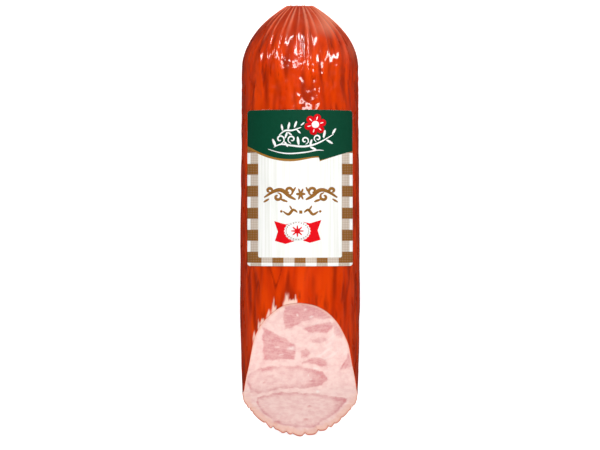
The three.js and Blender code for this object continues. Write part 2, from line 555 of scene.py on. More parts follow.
@dataclass(frozen=True)
class SkinFinish:
    """Smoked casing: glossy orange-red, with painted shade in its grooves, folds and flanks, paler where it
    is gathered, with painted highlights on the pleats' crests.

    Attributes:
        lit: Its brighter patches.
        deep: Its deeper patches.
        groove: The painted shade of its grooves, folds, creases and the hollows between its pleats, also used
            for its flanks.
        gathered: Where it is gathered.
        smear: The fat dragged over it at the cut.
    """

    lit: Colour = from_screen(224, 64, 2)
    deep: Colour = from_screen(203, 50, 2)
    groove: Colour = from_screen(146, 32, 4)
    # gathered: Where it is gathered; on the pleats' crests it stands for painted highlights.
    gathered: Colour = from_screen(222, 128, 100)
    smear: Colour = from_screen(251, 212, 196)

    def build(self, effects: Effects) -> bpy.types.Material:
        """Makes the material.

        Args:
            effects: The shared effects.

        Returns:
            The material, which reads the colour attribute "skin".
        """
        material, sheet, shader, place = new_material(
            "smoked_skin",
            {"Coat Roughness": 0.1, "Coat IOR": 1.5, "IOR": 1.45, "Specular IOR Level": 0.04},
        )
        marks = sheet.add("Attribute", attribute_name="skin")
        parts = sheet.add("SeparateColor", {0: marks.outputs["Color"]})
        groove, gather, smear = parts.outputs
        broad = effects.patches(sheet, place, 5.0, 1.0, 0.25, 5.0)
        # Painted shade: the flanks are darkened towards the groove colour with the angle of view, so this
        # part of the colour is not fixed to the sausage.
        facing = sheet.add("LayerWeight", {"Blend": 0.5}).outputs["Facing"]
        painted_flank_shade = sheet.sum("MULTIPLY", sheet.ramp(facing, 0.2, 0.8), 0.4)
        colour = sheet.blend(broad, self.deep, self.lit)
        # Painted shade: the groove mark darkens the folds, creases and the hollows between the pleats.
        colour = sheet.blend(groove, colour, self.groove)
        colour = sheet.blend(painted_flank_shade, colour, self.groove)
        # The gather mark is the gathered casing's paler tone, and on the pleats' crests a painted highlight.
        colour = sheet.blend(gather, colour, self.gathered)
        colour = sheet.blend(smear, colour, self.smear)
        rough = effects.roughness(sheet, place, 5.0, 0.24, 0.42)
        bump = sheet.bump(effects.height(sheet, place, 2.6, 0.8, 3.0), 0.35, 0.3 * MM)
        shine = sheet.sum("SUBTRACT", 0.75, sheet.sum("MULTIPLY", smear, 0.7))
        join(sheet, shader, Base_Color=colour, Roughness=rough, Normal=bump, Coat_Weight=shine)
        return material


@dataclass(frozen=True)
class MeatFinish:
    """Cooked meat: pale binding with pinker pieces, fibres in them, specks of fat and a few red spots.

    Attributes:
        pale: The binding between the pieces.
        lean: The pieces of meat.
        fat: Specks and streaks of fat.
        spot: Small red spots.
        rind: The band along the rim.
    """

    pale: Colour = from_screen(251, 214, 206)
    lean: Colour = from_screen(222, 148, 148)
    fat: Colour = from_screen(253, 236, 230)
    spot: Colour = from_screen(212, 112, 116)
    rind: Colour = from_screen(245, 188, 164)

    def build(self, effects: Effects) -> bpy.types.Material:
        """Makes the material.

        Args:
            effects: The shared effects.

        Returns:
            The material, which reads the colour attributes "marbling" and "rind" and the UV map "fibres".
        """
        material, sheet, shader, place = new_material(
            "cooked_meat",
            {"Coat Weight": 0.25, "Coat Roughness": 0.3, "IOR": 1.4, "Specular IOR Level": 0.3},
        )
        marks = sheet.add("Attribute", attribute_name="marbling")
        lean, fat, spot = sheet.add("SeparateColor", {0: marks.outputs["Color"]}).outputs
        edge = sheet.add("Attribute", attribute_name="rind")
        rind = sheet.add("SeparateColor", {0: edge.outputs["Color"]}).outputs[0]
        along = sheet.add("UVMap", uv_map="fibres")
        sockets = {"Vector": along.outputs[0], "Scale": 1.0, "Detail": 4.0, "Roughness": 0.6}
        fibres = sheet.add("TexNoise", sockets)
        strands = sheet.ramp(fibres.outputs[0], 0.38, 0.66)
        clouds = effects.patches(sheet, place, 3.2, 4.0, 0.2)
        fine = effects.patches(sheet, place, 0.9, 2.0, 0.15)
        uneven = sheet.sum("MULTIPLY_ADD", clouds, 0.4, -0.1)
        tone = sheet.sum("ADD", lean, uneven)
        thread = sheet.sum("MULTIPLY_ADD", strands, 0.32, 0.78)
        tone = sheet.sum("MULTIPLY", tone, thread)
        colour = sheet.blend(tone, self.pale, self.lean)
        colour = sheet.blend(sheet.sum("MULTIPLY", fine, 0.12), colour, self.fat)
        colour = sheet.blend(fat, colour, self.fat)
        colour = sheet.blend(spot, colour, self.spot)
        colour = sheet.blend(rind, colour, self.rind)
        rough = effects.roughness(sheet, place, 3.0, 0.34, 0.55)
        grain = effects.height(sheet, place, 1.1, 0.4)
        height = sheet.sum("ADD", grain, sheet.sum("MULTIPLY", fibres.outputs[0], 0.5))
        bump = sheet.bump(height, 0.5, 0.18 * MM)
        join(sheet, shader, Base_Color=colour, Roughness=rough, Normal=bump)
        return material


@dataclass(frozen=True)
class MetalFinish:
    """Drawn aluminium wire with fine scratches and a few dull patches.

    Attributes:
        bright: The clean metal.
        dull: Its duller patches.
    """

    bright: Colour = from_screen(222, 223, 226)
    dull: Colour = from_screen(168, 170, 174)

    def build(self, effects: Effects) -> bpy.types.Material:
        """Makes the material.

        Args:
            effects: The shared effects.

        Returns:
            The material.
        """
        material, sheet, shader, place = new_material("clip_aluminium", {"Metallic": 1.0})
        colour = sheet.blend(effects.patches(sheet, place, 1.2, 3.0, 0.2), self.bright, self.dull)
        rough = effects.roughness(sheet, place, 0.8, 0.22, 0.4)
        scratches = effects.height(sheet, place, 0.5, 0.15, 0.2)
        join(sheet, shader, Base_Color=colour, Roughness=rough, Normal=sheet.bump(scratches, 0.4, 0.05 * MM))
        return material


@dataclass(frozen=True)
class InkFinish:
    """One flat printing ink, with the slight unevenness of print on film.

    Attributes:
        name: The material's name.
        ink: The ink where it is full.
        worn: The ink where it is thin.
    """

    name: str
    ink: Colour
    worn: Colour

    def build(self, effects: Effects) -> bpy.types.Material:
        """Makes the material.

        Args:
            effects: The shared effects.

        Returns:
            The material.
        """
        material, sheet, shader, place = new_material(self.name, {"IOR": 1.4, "Specular IOR Level": 0.05})
        thin = sheet.sum("MULTIPLY", effects.patches(sheet, place, 1.5, 4.0, 0.3), 0.5)
        colour = sheet.blend(thin, self.ink, self.worn)
        rough = effects.roughness(sheet, place, 6.0, 0.42, 0.55)
        grain = effects.height(sheet, place, 0.8, 0.25)
        join(sheet, shader, Base_Color=colour, Roughness=rough, Normal=sheet.bump(grain, 0.25, 0.03 * MM))
        return material


@dataclass(frozen=True)
class PaperFinish:
    """The label's sheet: a white planked panel on a checked cloth pattern.

    Attributes:
        panel_half: The panel's half width.
        panel_low: The panel's lower edge.
        panel_high: The panel's upper edge, which the header hides.
        pitch: From one stripe of the cloth to the next.
        first_row: The lowest row stripe's middle.
        corner: The radius of the panel's corners.
        margin_from: Where the side margin starts, which has rows and no columns.
        margin_blur: How soft the margin's edge is.
        thread: From one thread of the cloth to the next.
        white: The panel and the cloth's ground.
        plank: The grain of the panel's boards.
        brown: The cloth's darker threads.
        beige: The cloth's paler threads.
    """

    panel_half: float
    panel_low: float
    panel_high: float
    pitch: float
    first_row: float
    corner: float = 0.9 * MM
    margin_from: float = 26.0 * MM
    margin_blur: float = 0.2 * MM
    thread: float = 0.9 * MM
    white: Colour = from_screen(252, 252, 250)
    plank: Colour = from_screen(234, 235, 228)
    brown: Colour = from_screen(138, 86, 24)
    beige: Colour = from_screen(200, 183, 166)

    def build(self, effects: Effects) -> bpy.types.Material:
        """Makes the material.

        Args:
            effects: The shared effects.

        Returns:
            The material.
        """
        material, sheet, shader, place = new_material("label_print", {"IOR": 1.4, "Specular IOR Level": 0.05})
        axes = sheet.add("SeparateXYZ", {0: place}).outputs
        across, along = axes[0], axes[1]
        rows = self._stripes(sheet, sheet.sum("SUBTRACT", along, self.first_row))
        columns = self._stripes(sheet, across)
        weft = self._threads(sheet, along)
        warp = self._threads(sheet, across)
        margin_to = self.margin_from + self.margin_blur
        margin = sheet.ramp(sheet.sum("ABSOLUTE", across), self.margin_from, margin_to)
        both = sheet.sum("MULTIPLY", rows, sheet.sum("MAXIMUM", columns, margin))
        either = sheet.sum("MAXIMUM", rows, columns)
        woven = sheet.blend(sheet.sum("MULTIPLY", weft, 0.35), self.beige, self.white)
        woven = sheet.blend(sheet.sum("MULTIPLY", warp, 0.25), woven, self.brown)
        cloth = sheet.blend(either, self.white, woven)
        crossed = sheet.sum("MULTIPLY", sheet.sum("MULTIPLY", weft, warp), 0.3)
        dark = sheet.blend(crossed, self.brown, self.beige)
        cloth = sheet.blend(both, cloth, dark)
        colour = sheet.blend(self._panel(sheet, across, along), cloth, self._planks(sheet, effects, place))
        rough = effects.roughness(sheet, place, 9.0, 0.42, 0.55)
        grain = effects.height(sheet, place, 0.9, 0.3)
        join(sheet, shader, Base_Color=colour, Roughness=rough, Normal=sheet.bump(grain, 0.25, 0.03 * MM))
        return material

    def _stripes(self, sheet: NodeSheet, place: Socket) -> Socket:
        """Stripes half a pitch wide, with one centred on zero."""
        turn = sheet.sum("MULTIPLY", place, FULL_TURN / self.pitch)
        return sheet.ramp(sheet.sum("COSINE", turn), -0.035, 0.035)

    def _threads(self, sheet: NodeSheet, place: Socket) -> Socket:
        """Fine threads of the cloth."""
        turn = sheet.sum("MULTIPLY", place, FULL_TURN / self.thread)
        return sheet.ramp(sheet.sum("SINE", turn), -0.8, 0.8)

    def _panel(self, sheet: NodeSheet, across: Socket, along: Socket) -> Socket:
        """The panel's mask: a rectangle with round corners."""
        middle = (self.panel_low + self.panel_high) / 2
        half = (self.panel_high - self.panel_low) / 2
        sides = []
        for place, centre, reach in ((across, 0.0, self.panel_half), (along, middle, half)):
            off = sheet.sum("ABSOLUTE", sheet.sum("SUBTRACT", place, centre))
            sides.append(sheet.sum("MAXIMUM", sheet.sum("SUBTRACT", off, reach - self.corner), 0.0))
        squares = [sheet.sum("MULTIPLY", side, side) for side in sides]
        away = sheet.sum("SQRT", sheet.sum("ADD", *squares))
        return sheet.ramp(away, self.corner + 0.05 * MM, self.corner - 0.05 * MM)

    def _planks(self, sheet: NodeSheet, effects: Effects, place: Socket) -> Socket:
        """White boards with a faint long grain."""
        share = sheet.sum("MULTIPLY", effects.patches(sheet, place, 1.1, 3.0, 0.2, 40.0), 0.8)
        return sheet.blend(share, self.white, self.plank)


# ---- making pieces


def turned(profile: Sequence[Pair], form: Form, steps: int) -> tuple[Mesh, bmesh.types.BMLayerItem]:
    """Spins a line round the sausage's axis into a closed surface.

    Args:
        profile: Pairs of radius and y, from pole to pole.
        form: The sausage's form.
        steps: How many steps make a full turn.

    Returns:
        The mesh, and the vertex layer that holds each vertex's number on the line.
    """
    bm = bmesh.new()
    number = bm.verts.layers.float.new("number")
    line = []
    for index, (radius, y) in enumerate(profile):
        vertex = bm.verts.new((radius, y, form.axis_height))
        vertex[number] = index
        line.append(vertex)
    edges = [bm.edges.new(pair) for pair in zip(line, line[1:])]
    bmesh.ops.spin(
        bm, geom=[*line, *edges], cent=(0, 0, form.axis_height), axis=(0, -1, 0),
        dvec=(0, 0, 0), angle=FULL_TURN, steps=steps, use_merge=True,
    )
    bmesh.ops.remove_doubles(bm, verts=bm.verts, dist=1e-6)
    bmesh.ops.recalc_face_normals(bm, faces=bm.faces)
    return bm, number


def finished(name: str, bm: Mesh, material: bpy.types.Material) -> bpy.types.Object:
    """Makes a mesh a smooth, shaded piece that rides on the sausage.

    Args:
        name: The piece's name.
        bm: Its mesh, which is used up.
        material: Its material.

    Returns:
        The piece.
    """
    mesh = bpy.data.meshes.new(name)
    bm.to_mesh(mesh)
    bm.free()
    mesh.shade_smooth()
    mesh.materials.append(material)
    piece = bpy.data.objects.new(name, mesh)
    bpy.context.scene.collection.objects.link(piece)
    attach(piece, ROOT)
    LOG.info("%s: %d faces", name, len(mesh.polygons))
    return piece


def place_of(vertex: Vertex, form: Form) -> Pair:
    """A vertex's angle round the axis and its radius."""
    up = vertex.co.z - form.axis_height
    return math.atan2(up, vertex.co.x), math.hypot(up, vertex.co.x)


# ---- casing


@dataclass(frozen=True)
class Pleat:
    """One fold of the gathered end.

    Attributes:
        angle: Where it is round the axis.
        width: Its half width as an angle.
        length: How far it runs from the rim.
        height: How far it stands up.
        drift: How far it swerves, as an angle.
    """

    angle: float
    width: float
    length: float
    height: float
    drift: float

    def rise(self, angle: float, depth: float) -> float:
        """How high it stands at a place.

        Args:
            angle: Round the axis.
            depth: From the tip.

        Returns:
            The height in metres.
        """
        run = depth / self.length
        if run >= 1:
            return 0.0
        centre = self.angle + self.drift * run * run
        off = abs((angle - centre + math.pi) % FULL_TURN - math.pi)
        near = max(0.0, 1 - off / (self.width * (1 + 0.4 * run)))
        return self.height * near ** 1.3 * (1 - run) ** 0.8


@dataclass(frozen=True)
class Ripple:
    """One smooth unevenness of the casing, longer along the sausage than round it.

    Attributes:
        around: Its size round the sausage, in millimetres.
        along: Its size along the sausage, in millimetres.
        shift: Where it starts, so that no two are alike.
    """

    around: float
    along: float
    shift: tuple[float, float, float] = (0, 0, 0)

    def at(self, x: float, z: float, long: float) -> float:
        """Its height at a place given in millimetres, from about -1 to 1."""
        shift_x, shift_z, shift_long = self.shift
        return noise.noise(Vector((
            x / self.around + shift_x, z / self.around + shift_z, long / self.along + shift_long,
        )))


# Smears of fat above the cut: middle and half width in degrees round the axis, and reach in millimetres.
SMEARS = ((94.5, 2.0, 4.5), (98.5, 3.4, 3.0), (103, 4.0, 8.0), (115.5, 3.6, 8.0), (121, 3.6, 3.2),
          (129, 3.4, 3.6), (134, 1.8, 5.4), (140, 1.8, 4.4))


@dataclass
class CasingSkin:
    """The smoked casing: wrinkled along its length, pleated at its gathered end and ragged at its cut.

    Attributes:
        form: The sausage's form.
        wall: The casing's thickness with its wrinkles.
        mouth_wall: Its thickness at the cut.
        deepest: The deepest that a wrinkle goes.
        pleat_count: How many pleats go round.
        steps_round: Steps in a full turn.
        dome_step: Spacing of rings on the dome.
        body_step: Spacing of rings on the body.
        inner_rings: Rings of the inner wall.
        tail_radius: The radius of the casing's tail past the clip.
        dimple_wall: The casing's thickness behind the dimple.
        drawn_radius: The radius at which the ripples are read, in millimetres.
        sway: Bends the other ripples sideways.
        folds: The long folds.
        waves: Broader and longer ones.
        dents: Small dents.
        creases: Narrow sunk lines, which also get painted shade.
        creased: Where there are such lines.
        seed: Starts the draw of the pleats.
        pleats: The folds of the gathered end.
        label_box: The label's lowest and highest corner.
    """

    form: Form
    wall: float = 1.05 * MM
    mouth_wall: float = 0.42 * MM
    deepest: float = 0.85 * MM
    pleat_count: int = 31
    steps_round: int = 336
    dome_step: float = 0.8 * MM
    body_step: float = 1.1 * MM
    inner_rings: int = 14
    tail_radius: float = 3.4 * MM
    dimple_wall: float = 1.4 * MM
    drawn_radius: float = 32
    sway: Ripple = Ripple(15, 24)
    folds: Ripple = Ripple(2.8, 15)
    waves: Ripple = Ripple(6, 26, (9, 0, 0))
    dents: Ripple = Ripple(2.5, 3.2, (0, 0, 31))
    creases: Ripple = Ripple(4.6, 30, (3, 11, 0))
    creased: Ripple = Ripple(9, 18, (0, 40, 0))
    seed: int = 11
    pleats: list[Pleat] = field(init=False, repr=False)
    label_box: tuple[Vector, Vector] = field(init=False, repr=False)

    def __post_init__(self) -> None:
        """Draws the pleats, and notes where the label lies."""
        self.label_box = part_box("label")
        draw = random.Random(self.seed)
        step = FULL_TURN / self.pleat_count
        self.pleats = [
            Pleat(
                angle=(index + draw.uniform(-0.32, 0.32)) * step,
                width=step * draw.uniform(0.16, 0.32),
                length=draw.uniform(12, 44) * MM,
                height=draw.uniform(0.5, 1.3) * MM,
                drift=draw.uniform(-0.12, 0.12),
            )
            for index in range(self.pleat_count)
        ]

    def build(self, finish: SkinFinish, effects: Effects) -> bpy.types.Object:
        """Makes the casing.

        Args:
            finish: Its finish.
            effects: The shared effects.

        Returns:
            The piece.
        """
        gather = self._gather_line()
        outside = self._outside_line()
        inside = self._inside_line()
        first_outside = len(gather)
        first_inside = first_outside + len(outside)
        bm, number = turned([*gather, *outside, *inside], self.form, self.steps_round)
        skin = bm.verts.layers.float_color.new("skin")
        for vertex in bm.verts:
            index = round(vertex[number])
            if index < first_outside:
                vertex[skin] = self._shape_gather(vertex)
            elif index < first_inside:
                vertex[skin] = self._shape_outside(vertex, index == first_inside - 1)
            else:
                self._shape_inside(vertex)
                vertex[skin] = (0.0, 0.3, 0.25, 1.0)
        bm.verts.layers.float.remove(number)
        piece = finished("casing_skin", bm, finish.build(effects))
        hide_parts("casing")
        return piece

    def _gather_line(self) -> list[Pair]:
        """The tail, neck, dimple and rim, from the pole outwards."""
        form, tail = self.form, self.tail_radius
        line = [(0.0, 0.5 * MM), (1.0 * MM, 0.35 * MM), (2.0 * MM, 0.25 * MM), (tail - 0.3 * MM, 0.2 * MM),
                (tail, 0.5 * MM), (tail - 0.3 * MM, 0.95 * MM), (form.neck_radius, 1.25 * MM),
                (form.neck_radius, 2.4 * MM), (form.neck_radius, form.dimple_depth - 0.3 * MM),
                (form.neck_radius + 0.4 * MM, form.dimple_depth),
                (form.dimple_radius - 0.6 * MM, form.dimple_depth),
                (form.dimple_radius, form.dimple_depth - 0.7 * MM),
                (form.dimple_radius, form.dimple_depth - 1.6 * MM)]
        roll_steps = 8
        for step in range(roll_steps):
            turn = math.pi / 2 * step / roll_steps
            line.append((form.crown_radius - 0.5 * MM - (form.rim_width - 0.5 * MM) * math.cos(turn),
                         form.rim_round * (1 - math.sin(turn))))
        return [(radius, form.tip_y - depth) for radius, depth in line]

    def _outside_line(self) -> list[Pair]:
        """The outside, from the rim to the mouth."""
        form = self.form
        depth = form.crown_depth
        near = 1e-4
        line = []
        while depth < form.length:
            y = form.tip_y - depth
            line.append((form.radius(y), y))
            slope = (form.radius(y - near) - form.radius(y)) / near
            step = self.dome_step if depth < form.dome_length else self.body_step
            depth += step / math.hypot(1, slope)
        line.append((form.radius(form.lip_y), form.lip_y))
        return line

    def _inside_line(self) -> list[Pair]:
        """The inner wall, from the mouth to the pole inside the dome."""
        form = self.form
        start = form.dimple_depth + self.dimple_wall
        line = []
        for ring in range(self.inner_rings + 1):
            share = (1 - ring / self.inner_rings) ** 0.7
            y = form.tip_y - mix(start, form.length, share)
            line.append((form.radius(y) - self.wall, y))
        line.append((0.0, form.tip_y - start))
        return line

    def _shape_gather(self, vertex: Vertex) -> Marks:
        """Folds the gathered end, and returns its marks, with painted shade in the dips between its pleats.
        """
        angle, radius = place_of(vertex, self.form)
        if radius < 0.5 * MM:
            # The tail's tip gets some of the painted groove shade, and the gathered paleness.
            return (0.35, 0.6, 0.0, 1.0)
        height = sum(pleat.rise(angle, 0.0) for pleat in self.pleats) - 0.35 * MM
        height *= smooth(0.8 * MM, self.form.crown_radius, radius) * 0.8
        crumple = noise.noise(Vector((math.cos(angle) * 6, math.sin(angle) * 6, radius / (2 * MM))))
        grown = radius + height * 0.6
        y = vertex.co.y + height * 0.55 + crumple * 0.16 * MM * smooth(0, 2 * MM, radius)
        vertex.co = self.form.spot(angle, grown, min(y, self.form.tip_y + 0.3 * MM))
        # Painted shade in the dips between the pleats, which are also less pale there.
        painted_dip_shade = smooth(0.25 * MM, -0.3 * MM, height)
        return (0.55 * painted_dip_shade, 0.75 - 0.25 * painted_dip_shade, 0.0, 1.0)

    def _shape_outside(self, vertex: Vertex, at_edge: bool) -> Marks:
        """Wrinkles the outside and leans it to the cut, and returns its marks."""
        form = self.form
        angle, radius = place_of(vertex, form)
        y = vertex.co.y
        if y < form.slant_from:
            y, _ = form.leaned(angle, y)
            radius = form.radius(y)
        depth = form.tip_y - y
        sunk, shade, crest = self._relief(angle, depth, y)
        to_cut = y - form.mouth(angle)
        edge = 1 - smooth(0.3 * MM, 3 * MM, to_cut)
        sunk = mix(sunk, min(sunk, 0.15 * MM), edge)
        if at_edge:
            sunk += 0.12 * MM
        vertex.co = form.spot(angle, form.held(angle, radius - sunk), y)
        return self._marks(angle, depth, shade, crest, to_cut)

    def _relief(self, angle: float, depth: float, y: float) -> tuple[float, float, float]:
        """How far a point lies below the smooth outside.

        Args:
            angle: Round the axis.
            depth: From the tip.
            y: Along the axis.

        Returns:
            The depth of the wrinkles there; how much painted shade the folds get, and how high a pleat
            stands, from 0 to 1.
        """
        x, z, long = self.drawn_radius * math.cos(angle), self.drawn_radius * math.sin(angle), y / MM
        sway = 2.4 * self.sway.at(x, z, long)
        place = (x - sway * math.sin(angle), z + sway * math.cos(angle), long)
        crease = max(0.0, 1 - abs(self.creases.at(*place)) / 0.07) ** 1.3
        some = smooth(-0.05, 0.3, self.creased.at(*place))
        fold = 0.2 - 0.42 * self.folds.at(*place) - 0.2 * self.waves.at(*place) + 0.34 * some * crease
        bumpy = mix(0.05, 0.4, smooth(70 * MM, 54 * MM, depth) * smooth(24 * MM, 40 * MM, depth))
        sunk = (fold - bumpy * self.dents.at(*place)) * MM
        calm = 1 - 0.65 * self._under_label(angle, y)
        sunk = max(0.0, sunk) * calm * mix(0.3, 1.0, smooth(3 * MM, 16 * MM, depth))
        rise = sum(pleat.rise(angle, depth) for pleat in self.pleats)
        crest = min(1.0, rise / (0.6 * MM))
        hollow = 0.5 * MM * (1 - smooth(8 * MM, 30 * MM, depth))
        return min(self.deepest, max(-0.25 * MM, sunk + hollow - rise)), smooth(0.12, 0.56, fold), crest

    def _under_label(self, angle: float, y: float) -> float:
        """1 under the label, where it holds the casing flatter, and 0 clear of it."""
        low, high = self.label_box
        along = smooth(low.y - 4 * MM, low.y + 1 * MM, y) * smooth(high.y + 4 * MM, high.y - 1 * MM, y)
        across = self.form.belly_radius * math.cos(angle)
        inside = smooth(high.x + 2 * MM, high.x - 1 * MM, abs(across)) if math.sin(angle) > 0 else 0.0
        return along * inside

    def _marks(self, angle: float, depth: float, shade: float, crest: float,
               to_cut: float) -> Marks:
        """The colour marks of a point: painted groove shade, gathered paleness with painted highlights on the
        pleats' crests, and smear.

        Args:
            angle: Round the axis.
            depth: From the tip.
            shade: How much painted shade the folds get there.
            crest: How high a pleat stands.
            to_cut: How far along the axis to the cut.

        Returns:
            The marks, as the red, green and blue of a colour whose alpha is 1.
        """
        # Painted shade in the folds and creases, fading out towards the tip.
        groove = 0.84 * shade * smooth(4 * MM, 20 * MM, depth)
        near_tip = 1 - smooth(2 * MM, 26 * MM, depth)
        patch = noise.noise(Vector((math.cos(angle) * 2, math.sin(angle) * 2, depth / (11 * MM))))
        side = smooth(-0.25, 0.85, math.cos(angle))
        # Painted shade in the wrinkles pulled in just above the cut.
        if to_cut < 7 * MM:
            pull = noise.noise(Vector((math.degrees(angle) / 2.6, to_cut / (12 * MM), 5.1)))
            groove += 0.6 * smooth(0.08, 0.34, pull) * smooth(7 * MM, 2 * MM, to_cut)
        # Paleness of the gathered end, more towards the +X side; the share that follows the pleats' crests is
        # a painted highlight.
        pale = near_tip * (0.04 + 0.2 * side + 0.75 * crest)
        pale += 0.9 * side * max(0.0, patch + 0.1) * (1 - smooth(12 * MM, 34 * MM, depth))
        # Painted shade in the hollows between the pleats, weaker towards the +X side.
        groove = min(1.0, groove + 0.62 * near_tip * (1 - crest) * (1 - 0.7 * side))
        return (groove, min(1.0, pale), self._smear(angle, to_cut), 1.0)

    @staticmethod
    def _smear(angle: float, to_cut: float) -> float:
        """Whitish fat that the knife dragged over the casing, mostly at one side of the cut's top."""
        turn = math.degrees(angle)
        torn = noise.noise(Vector((turn / 2.8, to_cut / (4 * MM), 1.7)))
        strength = 0.25 * smooth(0.3, -0.3, math.sin(angle)) * (1 - smooth(0.1 * MM, 0.9 * MM, to_cut))
        for middle, half, reach in SMEARS:
            within = 1 - abs(turn - middle + 2 * torn) / half - max(0.0, to_cut) / (reach * MM)
            strength = max(strength, 0.9 * smooth(0.0, 0.6, within + 0.3 * torn))
        return strength

    def _shape_inside(self, vertex: Vertex) -> None:
        """Leans the inner wall to the cut."""
        form = self.form
        angle, radius = place_of(vertex, form)
        y, wall = vertex.co.y, self.wall
        if y < form.slant_from:
            y, run = form.leaned(angle, y, self.mouth_wall, 0.1 * MM)
            wall = mix(self.wall, self.mouth_wall, smooth(0.9, 0.99, run))
            radius = form.radius(y) - wall
        vertex.co = form.spot(angle, form.held(angle, radius, 0.75 * wall - 0.1 * MM), y)


# ---- meat


class Texture(Enum):
    """How a piece of meat looks on the cut."""

    LEAN = (0.82, 0.0)
    MIDDLING = (0.64, 0.0)
    RINGED = (0.12, 0.7)

    @property
    def inside(self) -> float:
        """How dark its inside is."""
        return self.value[0]

    @property
    def outline(self) -> float:
        """How much darker its outline is."""
        return self.value[1]


@dataclass(frozen=True)
class Chunk:
    """One piece of meat as it shows on the cut, seen from above.

    Attributes:
        corners: Its outline in millimetres, x then y, going round.
        texture: How it looks.
        grain: The direction of its fibres in degrees.
        dark_end: The x in millimetres past which it is darker, where it has such an end.
    """

    corners: tuple[Pair, ...]
    texture: Texture
    grain: float = 10.0
    dark_end: float | None = None

    def depth_inside(self, x: float, y: float) -> float:
        """How far inside the outline a point is.

        Args:
            x: Across, in millimetres.
            y: Along, in millimetres.

        Returns:
            Millimetres to the outline, negative outside.
        """
        nearest, inside = 1e9, False
        last_x, last_y = self.corners[-1]
        for here_x, here_y in self.corners:
            run_x, run_y = here_x - last_x, here_y - last_y
            share = ((x - last_x) * run_x + (y - last_y) * run_y) / (run_x * run_x + run_y * run_y)
            share = min(1.0, max(0.0, share))
            nearest = min(nearest, math.hypot(x - last_x - share * run_x, y - last_y - share * run_y))
            if (here_y > y) != (last_y > y) and x < last_x + (y - last_y) / run_y * run_x:
                inside = not inside
            last_x, last_y = here_x, here_y
        return nearest if inside else -nearest


CHUNKS = (
    Chunk(((-8.2, -44.6), (-2.3, -41.6), (3.2, -41.6), (7.9, -42.6), (12.6, -45.2), (19.6, -51.4), (14, -52),
           (6.7, -51.4), (0.9, -52.6), (-1.5, -54.9), (-7.9, -57.2), (-8.5, -51.6)), Texture.LEAN, 8),
    Chunk(((-20.2, -55.6), (-16.5, -57.6), (-9.7, -60.6), (-2.6, -65.2), (-2.4, -73), (-11, -73.2),
           (-19.4, -73.6)), Texture.LEAN, -12),
    Chunk(((1.5, -56.4), (9.1, -54.2), (16.3, -53.8), (18.6, -55.2), (15, -58.8), (10.3, -59), (4.4, -58.6)),
          Texture.LEAN, 4),
    Chunk(((5.6, -62), (12.7, -61), (15.8, -62.5), (11.5, -64.6), (6.4, -64)), Texture.MIDDLING, 5),
    Chunk(((0.3, -68.1), (3.3, -67.6), (5.9, -69.6), (4.4, -72), (0.4, -72.6)), Texture.MIDDLING, 30),
    Chunk(((6.9, -72.6), (10.4, -72.2), (14, -73.8), (14.8, -76.4), (12.2, -77.6), (9.2, -75.9), (4.4, -75.2),
           (0.6, -75.8), (1.5, -74.2)), Texture.LEAN, -14),
    Chunk(((17.4, -54.2), (20, -53.4), (23.6, -59), (22.4, -62.4), (18.6, -60.2)), Texture.MIDDLING, 40),
    Chunk(((21.6, -78.6), (24, -73.6), (26.2, -70.4), (28.8, -74.2), (28.8, -77.6), (25, -79)),
          Texture.LEAN, 60),
    Chunk(((-28.4, -82.6), (-24.3, -79), (-15.3, -77), (-1.5, -77), (6.9, -78.8), (12.3, -80.4),
           (15, -84.5), (11.7, -87.2), (6.9, -88.8), (-11.1, -89.6), (-18.3, -91.6), (-23.2, -91.8),
           (-26.4, -92), (-28.3, -86.6)), Texture.RINGED, 3, dark_end=5.5),
    Chunk(((-23, -94.5), (-10, -91.6), (7, -92.4), (25.6, -95.2), (21.8, -101.4), (13.1, -108.2),
           (8.3, -111.6), (-1.5, -112.2), (-11.3, -110.6), (-20.4, -103.6), (-24, -97.4)),
          Texture.RINGED, -6, dark_end=19.5),
)


@dataclass(frozen=True)
class Blot:
    """A small round mark on the cut: a speck of fat, or a red spot that is also a pit.

    Attributes:
        x: Across, in millimetres.
        y: Along, in millimetres.
        size: Its half length.
        stretch: How much longer than high it is.
        red: Whether it is red.
    """

    x: float
    y: float
    size: float
    stretch: float
    red: bool

    def strength(self, x: float, y: float) -> float:
        """How strongly it shows at a point, from 0 to 1."""
        away = math.hypot((x - self.x) / self.stretch, y - self.y)
        return 1 - smooth(self.size * 0.1, self.size, away)


# Each blot's x, y, half length and stretch.
FAT_SPECKS = (
    (2.7, -46.8, 1.0, 1.2), (-1.1, -49.4, 1.1, 0.8), (6.0, -50.2, 0.9, 2.4), (-4.6, -67.2, 2.0, 1.5),
    (8.6, -77.9, 0.9, 3.0), (-12.5, -66, 0.7, 3.0), (-10.0, -70.8, 0.6, 3.2), (10.0, -91.2, 1.1, 1.3),
    (4.6, -81.5, 0.7, 1.0), (6.2, -83.8, 0.6, 1.2),
)
RED_SPOTS = (
    (3.4, -107.6, 1.5, 1.5), (-12.6, -109.2, 1.9, 1.8), (-19.6, -85.8, 0.7, 1.1), (24.3, -96, 1.5, 1.4),
    (-23.0, -97.8, 1.4, 1.0), (4.8, -100.2, 1.2, 1.5), (26.2, -72.2, 1.3, 0.8), (24.0, -76.6, 1.2, 1.5),
    (11.6, -83.2, 1.5, 1.0), (-4.8, -66.5, 0.5, 1.0),
)
BLOTS = [Blot(*sizes, red) for red, blots in ((False, FAT_SPECKS), (True, RED_SPOTS)) for sizes in blots]


